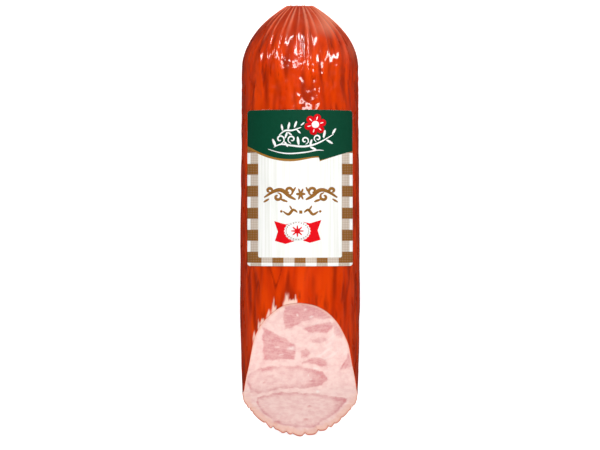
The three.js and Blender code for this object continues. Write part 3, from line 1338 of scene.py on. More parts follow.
@dataclass
class Meat:
    """The meat: one mass inside the casing, with its cut face modelled piece by piece.

    Attributes:
        form: The sausage's form.
        inset: How far its side is inside the smooth outside.
        mouth_inset: The same at the cut.
        steps_round: Steps in a full turn.
        face_step: Spacing of rings on the cut face.
        side_rings: Rings of its side.
        end_wall: From the dimple's bottom to its hidden end.
    """

    form: Form
    inset: float = 1.12 * MM
    mouth_inset: float = 0.5 * MM
    steps_round: int = 320
    face_step: float = 0.31 * MM
    side_rings: int = 14
    end_wall: float = 1.9 * MM

    def build(self, finish: MeatFinish, effects: Effects) -> bpy.types.Object:
        """Makes the meat.

        Args:
            finish: Its finish.
            effects: The shared effects.

        Returns:
            The piece.
        """
        form = self.form
        rim = form.radius(form.lip_y) - self.mouth_inset
        rings = round(rim / self.face_step)
        face = [(rim * ring / rings, form.lip_y) for ring in range(rings + 1)]
        start = form.dimple_depth + self.end_wall
        side = []
        for ring in range(1, self.side_rings + 1):
            y = form.tip_y - mix(start, form.length, (1 - ring / self.side_rings) ** 0.7)
            side.append((form.radius(y) - self.inset, y))
        bm, number = turned([*face, *side, (0.0, form.tip_y - start)], form, self.steps_round)
        marbling = bm.verts.layers.float_color.new("marbling")
        rind = bm.verts.layers.float_color.new("rind")
        for vertex in bm.verts:
            if round(vertex[number]) <= rings:
                vertex[marbling], vertex[rind] = self._shape_face(vertex, rim)
            else:
                self._shape_side(vertex)
                vertex[marbling], vertex[rind] = (0.2, 0.0, 0.0, 1.0), (0.7, 0.0, 0.0, 1.0)
        bm.verts.layers.float.remove(number)
        self._comb(bm)
        piece = finished("meat_mass", bm, finish.build(effects))
        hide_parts("meat")
        return piece

    def _shape_side(self, vertex: Vertex) -> None:
        """Leans the side to the cut and rests it on the casing."""
        form = self.form
        angle, radius = place_of(vertex, form)
        y, inset = vertex.co.y, self.inset
        if y < form.slant_from:
            y, run = form.leaned(angle, y, self.mouth_inset, 0.2 * MM)
            inset = mix(self.inset, self.mouth_inset, smooth(0.9, 0.99, run))
            radius = form.radius(y) - inset
        vertex.co = form.spot(angle, form.held(angle, radius, inset * 0.8), y)

    def _shape_face(self, vertex: Vertex, rim: float) -> tuple[Marks, Marks]:
        """Lays a point of the face on the cut, with its relief, and returns its marks.

        Args:
            vertex: The vertex.
            rim: The radius that the face was made with.

        Returns:
            Its marbling and its rind.
        """
        form = self.form
        angle, radius = place_of(vertex, form)
        share = min(1.0, radius / rim)
        edge_y = form.mouth(angle, self.mouth_inset)
        reach = form.held(angle, form.radius(edge_y) - self.mouth_inset, 0.8 * self.mouth_inset)
        across = reach * share * math.cos(angle)
        height = form.axis_height + reach * share * math.sin(angle)
        y = form.cut.at(height) + 0.15 * MM - form.ragged(angle) * share ** 4
        to_rim = reach * (1 - share) / MM
        lean, fat, spot, sunk = self._marbling(across / MM, y / MM, to_rim)
        bulge = 0.7 * MM * smooth(0.0, 6.0, to_rim)
        swell = 0.5 * MM * noise.noise(Vector((across, y, 0.0)) / (9 * MM))
        y -= bulge + swell * smooth(0, 5, to_rim) - sunk
        vertex.co = (across, y, height)
        rind = self._rind(angle, to_rim)
        return (lean * (1 - 0.8 * rind), fat, spot, 1.0), (rind, 0.0, 0.0, 1.0)

    @staticmethod
    def _rind(angle: float, to_rim: float) -> float:
        """The paler, yellower band along the lower rim, from 0 to 1."""
        low = smooth(0.15, -0.35, math.sin(angle))
        wide = 4.4 + 1.8 * noise.noise(Vector((math.cos(angle) * 2.5, math.sin(angle) * 2.5, 8.0)))
        band = 1 - smooth(wide * 0.5, wide, to_rim)
        line = 1 - smooth(0.25, 0.9, to_rim)
        return min(1.0, 0.5 * low * band + 0.5 * line)

    @staticmethod
    def _marbling(x: float, y: float, to_rim: float) -> tuple[float, float, float, float]:
        """What shows at a point of the cut.

        Args:
            x: Across, in millimetres.
            y: Along, in millimetres.
            to_rim: Distance from the rim, in millimetres.

        Returns:
            How lean, how fat and how red it is from 0 to 1, and how far it is sunk in metres.
        """
        warp = Vector((x / 3.1, y / 3.1, 0.4))
        broad_x, fine_x = noise.noise(warp), noise.noise(warp * 3)
        broad_y, fine_y = noise.noise(warp + Vector((7, 3, 1))), noise.noise(warp * 3 + Vector((2, 9, 4)))
        bent_x = x + 0.75 * broad_x + 0.3 * fine_x
        bent_y = y + 0.75 * broad_y + 0.3 * fine_y
        uneven = smooth(-0.35, 0.4, noise.noise(Vector((x / 4.5, y / 4.5, 5.5))))
        lean = sunk = 0.0
        seam = 9.0
        for chunk in CHUNKS:
            inside = chunk.depth_inside(bent_x, bent_y)
            seam = min(seam, abs(inside))
            if inside < -1.2:
                continue
            body = smooth(-0.5, 0.6, inside)
            band = 1 - smooth(0.2, 2.8, inside)
            tone = chunk.texture.inside + chunk.texture.outline * band * mix(0.55, 1.0, uneven)
            if chunk.dark_end is not None:
                tone += 0.5 * smooth(chunk.dark_end - 3, chunk.dark_end + 2, bent_x)
            lean = max(lean, tone * body)
            sunk = max(sunk, 0.16 * body * chunk.texture.inside)
        streak = noise.noise(Vector(((x * 0.55 - y * 0.84) / 1.7, (x * 0.84 + y * 0.55) / 9, 2.2)))
        cloud = noise.noise(Vector((x / 5.5, y / 4.0, 9.1)))
        lean += 0.2 * max(0.0, cloud + 0.15)
        fat = 0.55 * max(0.0, streak - 0.12) * smooth(2, 14, x) * smooth(-84, -78, y) * (1 - min(1, lean))
        fat = min(1.0, fat * 2.2)
        groove = 0.2 * (1 - smooth(0.1, 0.75, seam))
        spot = 0.0
        for blot in BLOTS:
            if abs(x - blot.x) > 7 or abs(y - blot.y) > 3.5:
                continue
            strength = blot.strength(bent_x, bent_y)
            if blot.red:
                spot = max(spot, strength * 0.5)
                groove = max(groove, 0.35 * strength)
            else:
                fat = max(fat, strength * 0.75)
        calm = smooth(0.0, 1.5, to_rim)
        return min(1.0, lean), fat, spot, (sunk + groove) * calm * MM

    @staticmethod
    def _comb(bm: Mesh) -> None:
        """Lays the fibres' map on the face, each piece of meat with its own direction."""
        fibres = bm.loops.layers.uv.new("fibres")
        for face in bm.faces:
            middle = face.calc_center_median() / MM
            grain, shift = 6.0, 0.0
            for index, chunk in enumerate(CHUNKS):
                if chunk.depth_inside(middle.x, middle.y) > -0.2:
                    grain, shift = chunk.grain, 10.0 * (index + 1)
                    break
            turn = math.radians(grain)
            for loop in face.loops:
                x, y = loop.vert.co.x / MM, loop.vert.co.y / MM
                along = x * math.cos(turn) + y * math.sin(turn)
                over = y * math.cos(turn) - x * math.sin(turn)
                loop[fibres].uv = (along / 5.5 + shift, over / 0.95)


# ---- clip


@dataclass
class Clip:
    """The closing clip: a round aluminium wire bent round the casing's neck, its ends pressed flat.

    Attributes:
        form: The sausage's form.
        wire: The wire's radius.
        opening: The gap between the ends, in radians.
        steps: Steps along the wire.
        sides: Sides of the wire.
        edge_round: The bevel at its ends.
    """

    form: Form
    wire: float = 1.0 * MM
    opening: float = 0.35
    steps: int = 72
    sides: int = 20
    edge_round: float = 0.22 * MM

    def build(self, finish: MetalFinish, effects: Effects) -> bpy.types.Object:
        """Makes the clip.

        Args:
            finish: Its finish.
            effects: The shared effects.

        Returns:
            The piece.
        """
        low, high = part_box("clip")
        ring = (high.z - low.z) / 2 - self.wire
        centre = Vector((0, (low.y + high.y) / 2, self.form.axis_height))
        bm = bmesh.new()
        bmesh.ops.create_circle(bm, cap_ends=True, segments=self.sides, radius=self.wire)
        half = self.opening / 2
        bmesh.ops.rotate(bm, verts=bm.verts, cent=(0, 0, 0), matrix=Matrix.Rotation(half, 3, "X"))
        turned_out = Matrix.Rotation(-half, 4, "Y") @ Matrix.Translation((ring, 0, 0))
        bmesh.ops.transform(bm, verts=bm.verts, matrix=Matrix.Translation(centre) @ turned_out)
        start = list(bm.faces)
        bmesh.ops.spin(
            bm, geom=start, cent=centre, axis=(0, -1, 0), dvec=(0, 0, 0),
            angle=FULL_TURN - self.opening, steps=self.steps,
        )
        ends = [edge for edge in bm.edges if any(len(face.verts) > 4 for face in edge.link_faces)]
        bmesh.ops.bevel(bm, geom=ends, offset=self.edge_round, segments=3, profile=0.5,
                        affect="EDGES", material=-1)
        for vertex in bm.verts:
            self._press(vertex, centre, ring)
        bmesh.ops.recalc_face_normals(bm, faces=bm.faces)
        piece = finished("clip_wire", bm, finish.build(effects))
        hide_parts("clip")
        return piece

    def _press(self, vertex: Vertex, centre: Vector, ring: float) -> None:
        """Flattens the wire where the closing tool held it."""
        off = vertex.co - centre
        angle = math.atan2(off.z, off.x)
        near_ends = 1 - smooth(self.opening / 2, self.opening / 2 + 0.5, abs(angle))
        die = 0.5 + 0.5 * math.cos(angle * 9)
        off.y *= 1 - 0.22 * near_ends - 0.06 * die
        vertex.co = centre + off


# ---- label


def strips(bm: Mesh, low: Vector, high: Vector, across: float, along: float) -> None:
    """Cuts a flat shape into strips so that it can bend.

    Args:
        bm: The mesh.
        low: Its lowest corner.
        high: Its highest corner.
        across: Width of a strip in x.
        along: Length of a strip in y.
    """
    for axis, step, normal in ((0, across, Vector((1, 0, 0))), (1, along, Vector((0, 1, 0)))):
        count = math.ceil((high[axis] - low[axis]) / step)
        for cut in range(1, count):
            place = normal * mix(low[axis], high[axis], cut / count)
            geom = [*bm.verts, *bm.edges, *bm.faces]
            bmesh.ops.bisect_plane(bm, geom=geom, dist=1e-7, plane_co=place, plane_no=normal)


def box_of(bm: Mesh) -> tuple[Vector, Vector]:
    """A mesh's lowest and highest corner."""
    low = Vector(min(vertex.co[axis] for vertex in bm.verts) for axis in range(3))
    high = Vector(max(vertex.co[axis] for vertex in bm.verts) for axis in range(3))
    return low, high


@dataclass
class Label:
    """The printed label: a thin sheet round the upper side, with layers of ink on it.

    The artwork is laid out from the label's middle in x and from its upper edge down in y.

    Attributes:
        form: The sausage's form.
        lift: How far the sheet's underside is above the smooth outside.
        thickness: The sheet's thickness.
        ink_thickness: How thick a layer of ink is.
        ink_gap: The gap under the first layer.
        corner: The radius of the sheet's corners.
        panel_half: The white panel's half width.
        panel_up: From the sheet's lower edge to the panel's.
        panel_down: From the sheet's upper edge to the panel's.
        pitch: From one stripe of the cloth to the next.
        row_up: From the sheet's lower edge to the first row's middle.
        sheet_strip: Width and length of the sheet's strips.
        ink_strip: Width and length of the ink's strips.
        half_width: The sheet's half width.
        low_y: Its lower edge.
        high_y: Its upper edge.
    """

    form: Form
    lift: float = 0.12 * MM
    thickness: float = 0.25 * MM
    ink_thickness: float = 0.03 * MM
    ink_gap: float = 0.005 * MM
    corner: float = 1.6 * MM
    panel_half: float = 22.4 * MM
    panel_up: float = 4.6 * MM
    panel_down: float = 6 * MM
    pitch: float = 11.8 * MM
    row_up: float = 4.7 * MM
    sheet_strip: Pair = (0.7 * MM, 2.0 * MM)
    ink_strip: Pair = (1.2 * MM, 6 * MM)
    half_width: float = field(init=False)
    low_y: float = field(init=False)
    high_y: float = field(init=False)

    def __post_init__(self) -> None:
        """Reads the label's outline from its box."""
        low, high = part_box("label")
        self.half_width = (high.x - low.x) / 2
        self.low_y, self.high_y = low.y, high.y

    def over(self, x: float, y: float, height: float) -> float:
        """The z of a point that is a given height above the smooth outside."""
        reach = self.form.radius(y) + height
        return self.form.axis_height + math.sqrt(max(0.0, reach * reach - x * x))

    def conform(self, bm: Mesh, base: float) -> None:
        """Bends a flat shape over the sausage; its own z becomes its height above the base."""
        for vertex in bm.verts:
            vertex.co.z = self.over(vertex.co.x, vertex.co.y, base + vertex.co.z)

    def build(self, effects: Effects) -> list[bpy.types.Object]:
        """Makes the sheet and its print, and returns the pieces."""
        return [self._sheet(effects), *Artwork(self).build(effects)]

    def _sheet(self, effects: Effects) -> bpy.types.Object:
        """The sheet itself."""
        bm = bmesh.new()
        bmesh.ops.create_grid(bm, x_segments=1, y_segments=1, size=0.5)
        size = (2 * self.half_width, self.high_y - self.low_y, 1)
        bmesh.ops.scale(bm, vec=size, verts=bm.verts)
        bmesh.ops.translate(bm, vec=(0, (self.high_y + self.low_y) / 2, 0), verts=bm.verts)
        bmesh.ops.bevel(bm, geom=list(bm.verts), offset=self.corner, segments=6, profile=0.5,
                        affect="VERTICES", material=-1)
        strips(bm, *box_of(bm), *self.sheet_strip)
        self._thicken(bm, self.thickness)
        self.conform(bm, self.lift)
        finish = PaperFinish(
            panel_half=self.panel_half, panel_low=self.low_y + self.panel_up,
            panel_high=self.high_y - self.panel_down, pitch=self.pitch, first_row=self.low_y + self.row_up,
        )
        piece = finished("label_sheet", bm, finish.build(effects))
        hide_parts("label")
        return piece

    @staticmethod
    def _thicken(bm: Mesh, thickness: float) -> None:
        """Turns a flat shape into a plate from its own plane upwards."""
        for face in bm.faces:
            if face.normal.z > 0:
                face.normal_flip()
        made = bmesh.ops.extrude_face_region(bm, geom=list(bm.faces), use_keep_orig=True)
        top = [part for part in made["geom"] if isinstance(part, bmesh.types.BMVert)]
        bmesh.ops.translate(bm, vec=(0, 0, thickness), verts=top)
        bmesh.ops.recalc_face_normals(bm, faces=bm.faces)

    def plate(self, bm: Mesh, layer: int) -> Mesh:
        """Makes a flat shape a layer of ink that lies on the sheet.

        Args:
            bm: The flat shape, in its place in x and y.
            layer: 1 for ink on the sheet, 2 for ink on that, and so on.

        Returns:
            The same mesh.
        """
        strips(bm, *box_of(bm), *self.ink_strip)
        self._thicken(bm, self.ink_thickness)
        self.conform(bm, self.lift + self.thickness + (layer - 1) * self.ink_thickness + self.ink_gap)
        return bm


@dataclass
class Artwork:
    """What is printed on the label: a header with a sprig and a flower, scrollwork and a rosette.

    Attributes:
        label: The label that it lies on.
        flower: The flower's middle, in millimetres across and down from the top.
        rosette: The rosette's middle.
        scroll_middle: The scrollwork's middle, across.
        ribbon_middle: The middle between the ribbon tails, across.
    """

    label: Label
    flower: Pair = (8.2, 7.9)
    rosette: Pair = (-1.4, 64.7)
    scroll_middle: float = 0.4
    ribbon_middle: float = -1.2

    def build(self, effects: Effects) -> list[bpy.types.Object]:
        """Makes every layer of ink.

        Args:
            effects: The shared effects.

        Returns:
            The pieces.
        """
        green = InkFinish("ink_green", from_screen(5, 65, 44), from_screen(9, 72, 51))
        gold = InkFinish("ink_gold", from_screen(158, 108, 40), from_screen(170, 124, 60))
        white = InkFinish("ink_white", from_screen(252, 252, 251), from_screen(244, 244, 241))
        red = InkFinish("ink_red", from_screen(226, 12, 24), from_screen(212, 12, 26))
        brown = InkFinish("ink_brown", from_screen(146, 96, 38), from_screen(160, 112, 58))
        layers = (
            ("label_header_line", gold, self._header(1.15 * MM), 1),
            ("label_header", green, self._header(0.0), 2),
            ("label_sprig", white, self._sprig(), 3),
            ("label_flower", red, self._flower(), 4),
            ("label_flower_heart", white, self._flower_heart(), 5),
            ("label_scrolls", brown, self._scrolls(), 1),
            ("label_ribbons", red, self._ribbons(), 1),
            ("label_rosette", white, self._rosette(), 2),
            ("label_rosette_ring", brown, self._rosette_ring(), 3),
            ("label_rosette_star", red, self._rosette_star(), 3),
        )
        pieces = []
        for name, finish, shape, layer in layers:
            shape = self.label.plate(shape, layer)
            pieces.append(finished(name, shape, finish.build(effects)))
        return pieces

    def _at(self, x: float, down: float) -> Pair:
        """A place in the artwork, in millimetres from the middle and down from the top, as x and y."""
        return x * MM, self.label.high_y - down * MM

    def _filled(self, outline: Sequence[tuple[Pair, ...]]) -> Mesh:
        """A flat shape inside a closed curve.

        Args:
            outline: Each point of the curve with its two handles, in the artwork's millimetres.

        Returns:
            The shape as a mesh.
        """
        curve = bpy.data.curves.new("outline", "CURVE")
        curve.dimensions = "2D"
        curve.fill_mode = "BOTH"
        curve.resolution_u = 10
        spline = curve.splines.new("BEZIER")
        spline.bezier_points.add(len(outline) - 1)
        spline.use_cyclic_u = True
        for knot, (before, point, after) in zip(spline.bezier_points, outline):
            knot.co = (*self._at(*point), 0)
            knot.handle_left_type = knot.handle_right_type = "FREE"
            knot.handle_left = (*self._at(*before), 0)
            knot.handle_right = (*self._at(*after), 0)
        return self._meshed(curve)

    @staticmethod
    def _meshed(curve: bpy.types.Curve) -> Mesh:
        """Turns a curve into a mesh and removes the curve."""
        holder = bpy.data.objects.new("holder", curve)
        bpy.context.scene.collection.objects.link(holder)
        mesh = holder.to_mesh()
        bm = bmesh.new()
        bm.from_mesh(mesh)
        holder.to_mesh_clear()
        bpy.data.objects.remove(holder)
        bpy.data.curves.remove(curve)
        bmesh.ops.remove_doubles(bm, verts=bm.verts, dist=1e-6)
        return bm

    def _header(self, lower: float) -> Mesh:
        """The header, with a sweeping lower edge and a small notch.

        Args:
            lower: How much lower its edge is, for the line that shows under it.

        Returns:
            The shape.
        """
        side = self.label.half_width / MM - 0.02
        drop = lower / MM
        corner = self.label.corner / MM
        bow = corner * 0.45
        outline = (
            ((-side, bow), (-side, corner), (-side, corner + 2)),
            ((-side, 16), (-side, 19.1 + drop), (-side + 6, 22.4 + drop)),
            ((-15.5, 26.4 + drop), (-5, 26.4 + drop), (0, 26.4 + drop)),
            ((5, 25.0 + drop * 0.6), (9.9, 24.8 + drop * 0.6), (10.1, 25.6)),
            ((10.7, 26.6 + drop * 0.5), (10.4, 27.0 + drop * 0.5), (15, 25.9)),
            ((22, 23.6), (side, 21.8), (side, 20)),
            ((side, corner + 2), (side, corner), (side, bow)),
            ((side - bow, 0.03), (side - corner, 0.03), (side - corner - 2, 0.03)),
            ((-side + corner + 2, 0.03), (-side + corner, 0.03), (-side + bow, 0.03)),
        )
        return self._filled(outline)

    def _disc(self, x: float, down: float, wide: float, tall: float, turn: float = 0.0,
              shape: Callable[[float], float] | None = None, points: int = 40) -> Mesh:
        """A flat disc whose radius may change as it goes round.

        Args:
            x: Its middle, in the artwork's millimetres.
            down: Its middle, down from the label's top.
            wide: Its half width in millimetres.
            tall: Its half height in millimetres.
            turn: How far it is turned, in degrees.
            shape: The share of the radius at each angle.
            points: Points in its outline.

        Returns:
            The disc.
        """
        bm = bmesh.new()
        bmesh.ops.create_circle(bm, cap_ends=True, segments=points, radius=1)
        for vertex in bm.verts:
            share = shape(math.atan2(vertex.co.y, vertex.co.x)) if shape else 1.0
            vertex.co *= share
        bmesh.ops.scale(bm, vec=(wide * MM, tall * MM, 1), verts=bm.verts)
        turned_round = Matrix.Rotation(math.radians(turn), 3, "Z")
        bmesh.ops.rotate(bm, verts=bm.verts, cent=(0, 0, 0), matrix=turned_round)
        bmesh.ops.translate(bm, vec=(*self._at(x, down), 0), verts=bm.verts)
        return bm

    @staticmethod
    def _together(shapes: Iterable[Mesh]) -> Mesh:
        """Puts several flat shapes in one mesh."""
        whole = bmesh.new()
        for shape in shapes:
            mesh = bpy.data.meshes.new("part")
            shape.to_mesh(mesh)
            shape.free()
            whole.from_mesh(mesh)
            bpy.data.meshes.remove(mesh)
        return whole

    def _leaf(self, x: float, down: float, length: float, turn: float) -> Mesh:
        """A pointed leaf."""

        def pointed(angle: float) -> float:
            """The leaf's outline, narrow at both ends."""
            return 0.5 + 0.5 * abs(math.cos(angle)) ** 5

        return self._disc(x, down, length / 2, length * 0.32, turn, pointed, 28)

    def _stroke(self, points: Sequence[Pair], width: float) -> Mesh:
        """A pen stroke along a smooth line, which thins out at both ends.

        Args:
            points: What it passes through, in the artwork's millimetres.
            width: Its half width in the middle, in millimetres.

        Returns:
            The stroke as a flat mesh.
        """
        bm = bmesh.new()
        line = self._through(points)
        count = len(line)
        pair = [bm.verts.new((0, 0, 0)) for _ in range(2)]
        edge = bm.edges.new(pair)
        for index, spot in enumerate(line):
            if index:
                made = bmesh.ops.extrude_edge_only(bm, edges=[edge])["geom"]
                edge = next(part for part in made if isinstance(part, bmesh.types.BMEdge))
                pair = [self._grown_from(old, edge) for old in pair]
            before, after = line[max(0, index - 1)], line[min(count - 1, index + 1)]
            side = Vector((before[1] - after[1], after[0] - before[0])).normalized()
            share = index / (count - 1)
            half = width * math.sin(math.pi * mix(0.06, 0.94, share)) ** 0.7
            for end, vertex in zip((-1, 1), pair):
                vertex.co = (*self._at(spot[0] + side.x * half * end, spot[1] + side.y * half * end), 0)
        return bm

    @staticmethod
    def _grown_from(old: bmesh.types.BMVert, edge: bmesh.types.BMEdge) -> bmesh.types.BMVert:
        """The end of a new edge that grew out of an old vertex."""
        return next(vertex for vertex in edge.verts
                    if any(side.other_vert(vertex) is old for side in vertex.link_edges))

    @staticmethod
    def _through(points: Sequence[Pair]) -> list[Pair]:
        """A smooth line through points, as many short steps."""
        line = []
        count = len(points)
        for index in range(count - 1):
            a, b = Vector(points[index]), Vector(points[index + 1])
            before = Vector(points[max(0, index - 1)])
            after = Vector(points[min(count - 1, index + 2)])
            handles = a + (b - before) / 6, b - (after - a) / 6
            steps = geometry.interpolate_bezier(a, *handles, b, 9)
            line += [tuple(step) for step in steps[: None if index == count - 2 else -1]]
        return line

    @staticmethod
    def _curl(x: float, down: float, size: float, start: float, sweep: float) -> list[Pair]:
        """Points of a curl that winds inwards.

        Args:
            x: Its middle.
            down: Its middle, down from the top.
            size: Its outer radius.
            start: The angle that it starts at, in degrees.
            sweep: How far it winds, in degrees.

        Returns:
            The points.
        """
        points = []
        for step in range(9):
            share = step / 8
            angle = math.radians(start + sweep * share)
            reach = size * (1 - 0.78 * share)
            points.append((x + reach * math.cos(angle), down + reach * math.sin(angle)))
        return points

    def _sprig(self) -> Mesh:
        """A white vine with leaves and curls, and a long pen stroke under it."""
        shapes = [
            self._stroke(((-17, 21.0), (-11, 22.8), (-5, 23.4), (3, 22.7), (9, 21.6), (12.6, 21.7)), 0.36),
            self._stroke(((-14, 20.0), (-10, 18.4), (-4, 19.2), (3, 19.6), (10, 17.6), (18, 13.0)), 0.5),
            self._stroke(((-11.2, 13.6), (-8, 11.2), (-4, 11.0), (0.6, 9.4)), 0.46),
        ]
        for x, down, size, start, sweep in (
            (-10.6, 15.7, 2.5, 80, -400), (-4.4, 15.8, 2.3, 100, 400), (2.6, 16.4, 2.2, 80, -400),
            (9.4, 15.2, 2.1, 110, 400),
        ):
            shapes.append(self._stroke(self._curl(x, down, size, start, sweep), 0.42))
        for x, down, length, turn in (
            (-13.8, 17.6, 4.6, 112), (-7.4, 18.4, 3.4, -58), (-7.4, 13.6, 3.6, 70), (-1.0, 16.6, 4.6, 98),
            (5.8, 17.6, 3.8, 74), (7.0, 20.6, 3.8, -24), (13.0, 12.9, 4.4, 78), (15.8, 17.0, 4.0, -30),
            (18.2, 11.4, 3.6, 58), (-9.6, 9.4, 3.6, 100), (-6.0, 8.6, 4.0, 78), (-2.4, 7.8, 3.8, 70),
            (-5.4, 12.8, 2.8, -36), (-0.8, 11.6, 3.0, -44), (1.4, 7.6, 2.6, 40),
        ):
            shapes.append(self._leaf(x, down, length, turn))
        return self._together(shapes)

    def _flower(self) -> Mesh:
        """A red flower with six petals."""

        def petals(angle: float) -> float:
            """The outline of six round petals."""
            return 0.66 + 0.34 * abs(math.cos(3 * angle)) ** 0.6

        return self._disc(*self.flower, 5.9, 5.7, 15, petals, 96)

    def _flower_heart(self) -> Mesh:
        """The flower's white middle and the lines between its petals."""
        x, down = self.flower
        shapes = [self._disc(x, down, 2.0, 1.9)]
        for petal in range(6):
            angle = math.radians(45 + 60 * petal)
            place = (x + 3.5 * math.cos(angle), down + 3.5 * math.sin(angle))
            shapes.append(self._leaf(*place, 1.9, -math.degrees(angle)))
        return self._together(shapes)

    def _scrolls(self) -> Mesh:
        """A brown band of scrollwork, and a narrower one under it."""
        middle = self.scroll_middle
        shapes = [self._disc(middle, 45, 2.6, 3.4, points=72,
                             shape=lambda angle: 0.72 + 0.28 * math.cos(6 * angle))]
        for side in (-1, 1):
            def across(x: float) -> float:
                """Mirrors a place in x to this side of the middle."""
                return middle + side * x

            arch = ((2.6, 48.0), (6, 46.2), (10, 43.0), (14, 43.4), (19.6, 46.8))
            shapes.append(self._stroke([(across(x), down) for x, down in arch], 1.05))
            for x, down, size, start, sweep in (
                (6.4, 43.4, 2.5, 90, 380), (12.4, 46.5, 2.3, -90, -380), (16.8, 43.2, 2.0, 90, 380),
            ):
                if side < 0:
                    start, sweep = 180 - start, -sweep
                shapes.append(self._stroke(self._curl(across(x), down, size, start, sweep), 0.78))
            for x, down, length, turn in (
                (9.0, 48.4, 4.2, 20), (3.6, 42.8, 3.6, 120), (18.4, 48.4, 3.6, -30),
            ):
                shapes.append(self._leaf(across(x), down, length, turn if side > 0 else 180 - turn))
            wave = ((1.8, 54.8), (4, 53.4), (6.5, 55.8), (9.4, 54.2))
            shapes.append(self._stroke([(across(x), down) for x, down in wave], 0.75))
            shapes.append(self._leaf(across(5.2), 52.4, 3.0, 90 - side * 30))
            shapes.append(self._disc(across(10.4), 54.2, 0.7, 0.7, points=16))
        shapes.append(self._disc(middle, 54.6, 1.2, 1.2, 45, points=4))
        return self._together(shapes)

    def _ribbons(self) -> Mesh:
        """Two red ribbon tails with forked ends, one each side of the rosette."""
        outline = ((2.0, 59.6), (6.5, 60.6), (12.6, 58.8), (10.6, 64.4), (12.2, 69.4), (6.5, 71.0),
                   (2.0, 69.6))
        wings = []
        for side, lower in ((-1, 0.6), (1, 0.0)):
            points = [(self.ribbon_middle + side * x, down + lower) for x, down in outline]
            wings.append(self._filled([(point, point, point) for point in points]))
        return self._together(wings)

    def _rosette(self) -> Mesh:
        """A white oval with a scalloped edge."""
        return self._disc(*self.rosette, 7.2, 5.6, points=132,
                          shape=lambda angle: 0.97 + 0.03 * math.cos(22 * angle))

    def _rosette_ring(self) -> Mesh:
        """Beads near the rosette's edge."""
        x, down = self.rosette
        beads = 26
        shapes = []
        for bead in range(beads):
            angle = FULL_TURN * bead / beads
            place = (x + 6.0 * math.cos(angle), down + 4.5 * math.sin(angle))
            shapes.append(self._disc(*place, 0.3, 0.3, points=12))
        return self._together(shapes)

    def _rosette_star(self) -> Mesh:
        """A star with eight rays."""
        return self._disc(*self.rosette, 3.6, 3.1, points=96,
                          shape=lambda angle: 0.42 + 0.58 * abs(math.cos(4 * angle)) ** 3)


# ---- studio


@dataclass(frozen=True)
class Lamp:
    """A soft light.

    Attributes:
        name: Its name.
        place: Where it hangs.
        size: Its width and length.
        power: Its power in watts.
        mirrored: Whether it is only mirrored by glossy surfaces, or only lights them.
    """

    name: str
    place: tuple[float, float, float]
    size: Pair
    power: float
    mirrored: bool


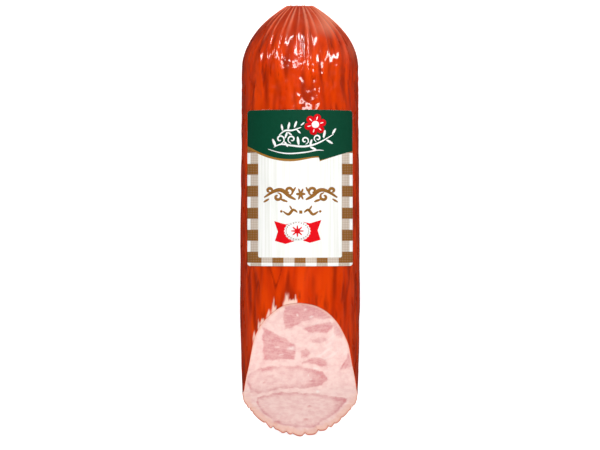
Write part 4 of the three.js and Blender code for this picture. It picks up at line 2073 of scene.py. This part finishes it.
@dataclass
class Studio:
    """A pale floor, soft lights and a camera that looks straight down.

    Attributes:
        middle: What the camera looks at.
        distance: From there to the camera.
        lens: The lens in millimetres, on a frame 36 mm wide.
        lamps: Its lights; the strips and the overhead one only show in reflections.
    """

    middle: Vector
    distance: float = 2.0
    lens: float = 221.5
    lamps: tuple[Lamp, ...] = (
        Lamp("key", (0.05, 0.62, 0.98), (0.5, 0.2), 5.4, False),
        Lamp("left", (-0.64, 0.62, 0.72), (0.24, 0.24), 2.6, False),
        Lamp("right", (0.68, 0.58, 0.66), (0.26, 0.24), 3.0, False),
        Lamp("fill", (0.0, -0.9, 0.72), (0.9, 0.6), 7.8, False),
        Lamp("strip_far_left", (-0.72, 0.52, 0.68), (0.1, 0.6), 5.5, True),
        Lamp("strip_left", (-0.16, 0.82, 0.66), (0.06, 0.7), 5.0, True),
        Lamp("strip_right", (0.2, 0.8, 0.66), (0.08, 0.75), 7.0, True),
        Lamp("strip_far_right", (0.92, 0.5, 0.42), (0.14, 0.6), 8.0, True),
        Lamp("overhead", (0.08, 0.34, 1.1), (0.85, 0.11), 7.0, True),
    )

    def build(self) -> None:
        """Makes the whole studio."""
        self._floor()
        self._air()
        for lamp in self.lamps:
            self._lamp(lamp)
        self._camera()
        bpy.context.scene.view_settings.view_transform = "Standard"

    def _floor(self) -> None:
        """A wide pale floor at the surface that the sausage lies on."""
        bm = bmesh.new()
        bmesh.ops.create_grid(bm, x_segments=1, y_segments=1, size=6)
        bmesh.ops.translate(bm, vec=(0, 0, -0.05 * MM), verts=bm.verts)
        mesh = bpy.data.meshes.new("floor")
        bm.to_mesh(mesh)
        bm.free()
        material, sheet, shader, place = new_material(
            "floor_paint", {"Roughness": 0.9, "Specular IOR Level": 0.1, "Emission Strength": 0.55},
        )
        speckle = sheet.add("TexNoise", {"Vector": place, "Scale": 40.0})
        paint = sheet.blend(speckle.outputs[0], (0.90, 0.90, 0.90), (0.93, 0.93, 0.93))
        rays = sheet.add("LightPath").outputs
        mirrored = sheet.blend(rays["Is Glossy Ray"], paint, (0.015, 0.015, 0.015))
        seen = sheet.blend(rays["Is Camera Ray"], (0.0, 0.0, 0.0), paint)
        join(sheet, shader, Base_Color=mirrored, Emission_Color=seen)
        mesh.materials.append(material)
        floor = bpy.data.objects.new("floor", mesh)
        bpy.context.scene.collection.objects.link(floor)

    @staticmethod
    def _air() -> None:
        """The surroundings: white to look at, dim as a light, and black in reflections."""
        world = bpy.data.worlds.new("studio")
        world.use_nodes = True
        world.node_tree.nodes.clear()
        sheet = NodeSheet(world.node_tree)
        rays = sheet.add("LightPath").outputs
        colour = sheet.blend(rays["Is Glossy Ray"], (0.24, 0.24, 0.24), (0.0, 0.0, 0.0))
        colour = sheet.blend(rays["Is Camera Ray"], colour, (1.0, 1.0, 1.0))
        air = sheet.add("Background", {"Color": colour})
        sheet.add("OutputWorld", {"Surface": air.outputs[0]})
        bpy.context.scene.world = world

    def _lamp(self, lamp: Lamp) -> None:
        """Hangs a soft light and points it at the sausage."""
        light = bpy.data.lights.new(lamp.name, "AREA")
        light.shape = "RECTANGLE"
        light.size, light.size_y = lamp.size
        light.energy = lamp.power
        holder = bpy.data.objects.new(lamp.name, light)
        holder.location = lamp.place
        holder.visible_glossy = lamp.mirrored
        holder.visible_diffuse = not lamp.mirrored
        holder.rotation_euler = (self.middle - Vector(lamp.place)).to_track_quat("-Z", "Y").to_euler()
        bpy.context.scene.collection.objects.link(holder)

    def _camera(self) -> None:
        """A camera straight above, with the clipped end at the top of its view."""
        camera = bpy.data.cameras.new("camera")
        camera.lens = self.lens
        camera.sensor_width = 36
        holder = bpy.data.objects.new("camera", camera)
        holder.location = self.middle + Vector((0, 0, self.distance))
        bpy.context.scene.collection.objects.link(holder)
        bpy.context.scene.camera = holder


# ---- the whole


def main() -> None:
    """Builds the studio and every piece, and reports each."""
    logging.basicConfig(level=logging.INFO, format="%(relativeCreated)d %(message)s")
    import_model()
    form = Form.from_frame()
    Studio(middle=Vector((0.0, -1.5 * MM, form.axis_height))).build()
    effects = Effects()
    pieces = [
        CasingSkin(form).build(SkinFinish(), effects),
        Meat(form).build(MeatFinish(), effects),
        Clip(form).build(MetalFinish(), effects),
        *Label(form).build(effects),
    ]
    LOG.info("%d pieces", len(pieces))


if __name__ == "__main__":
    main()
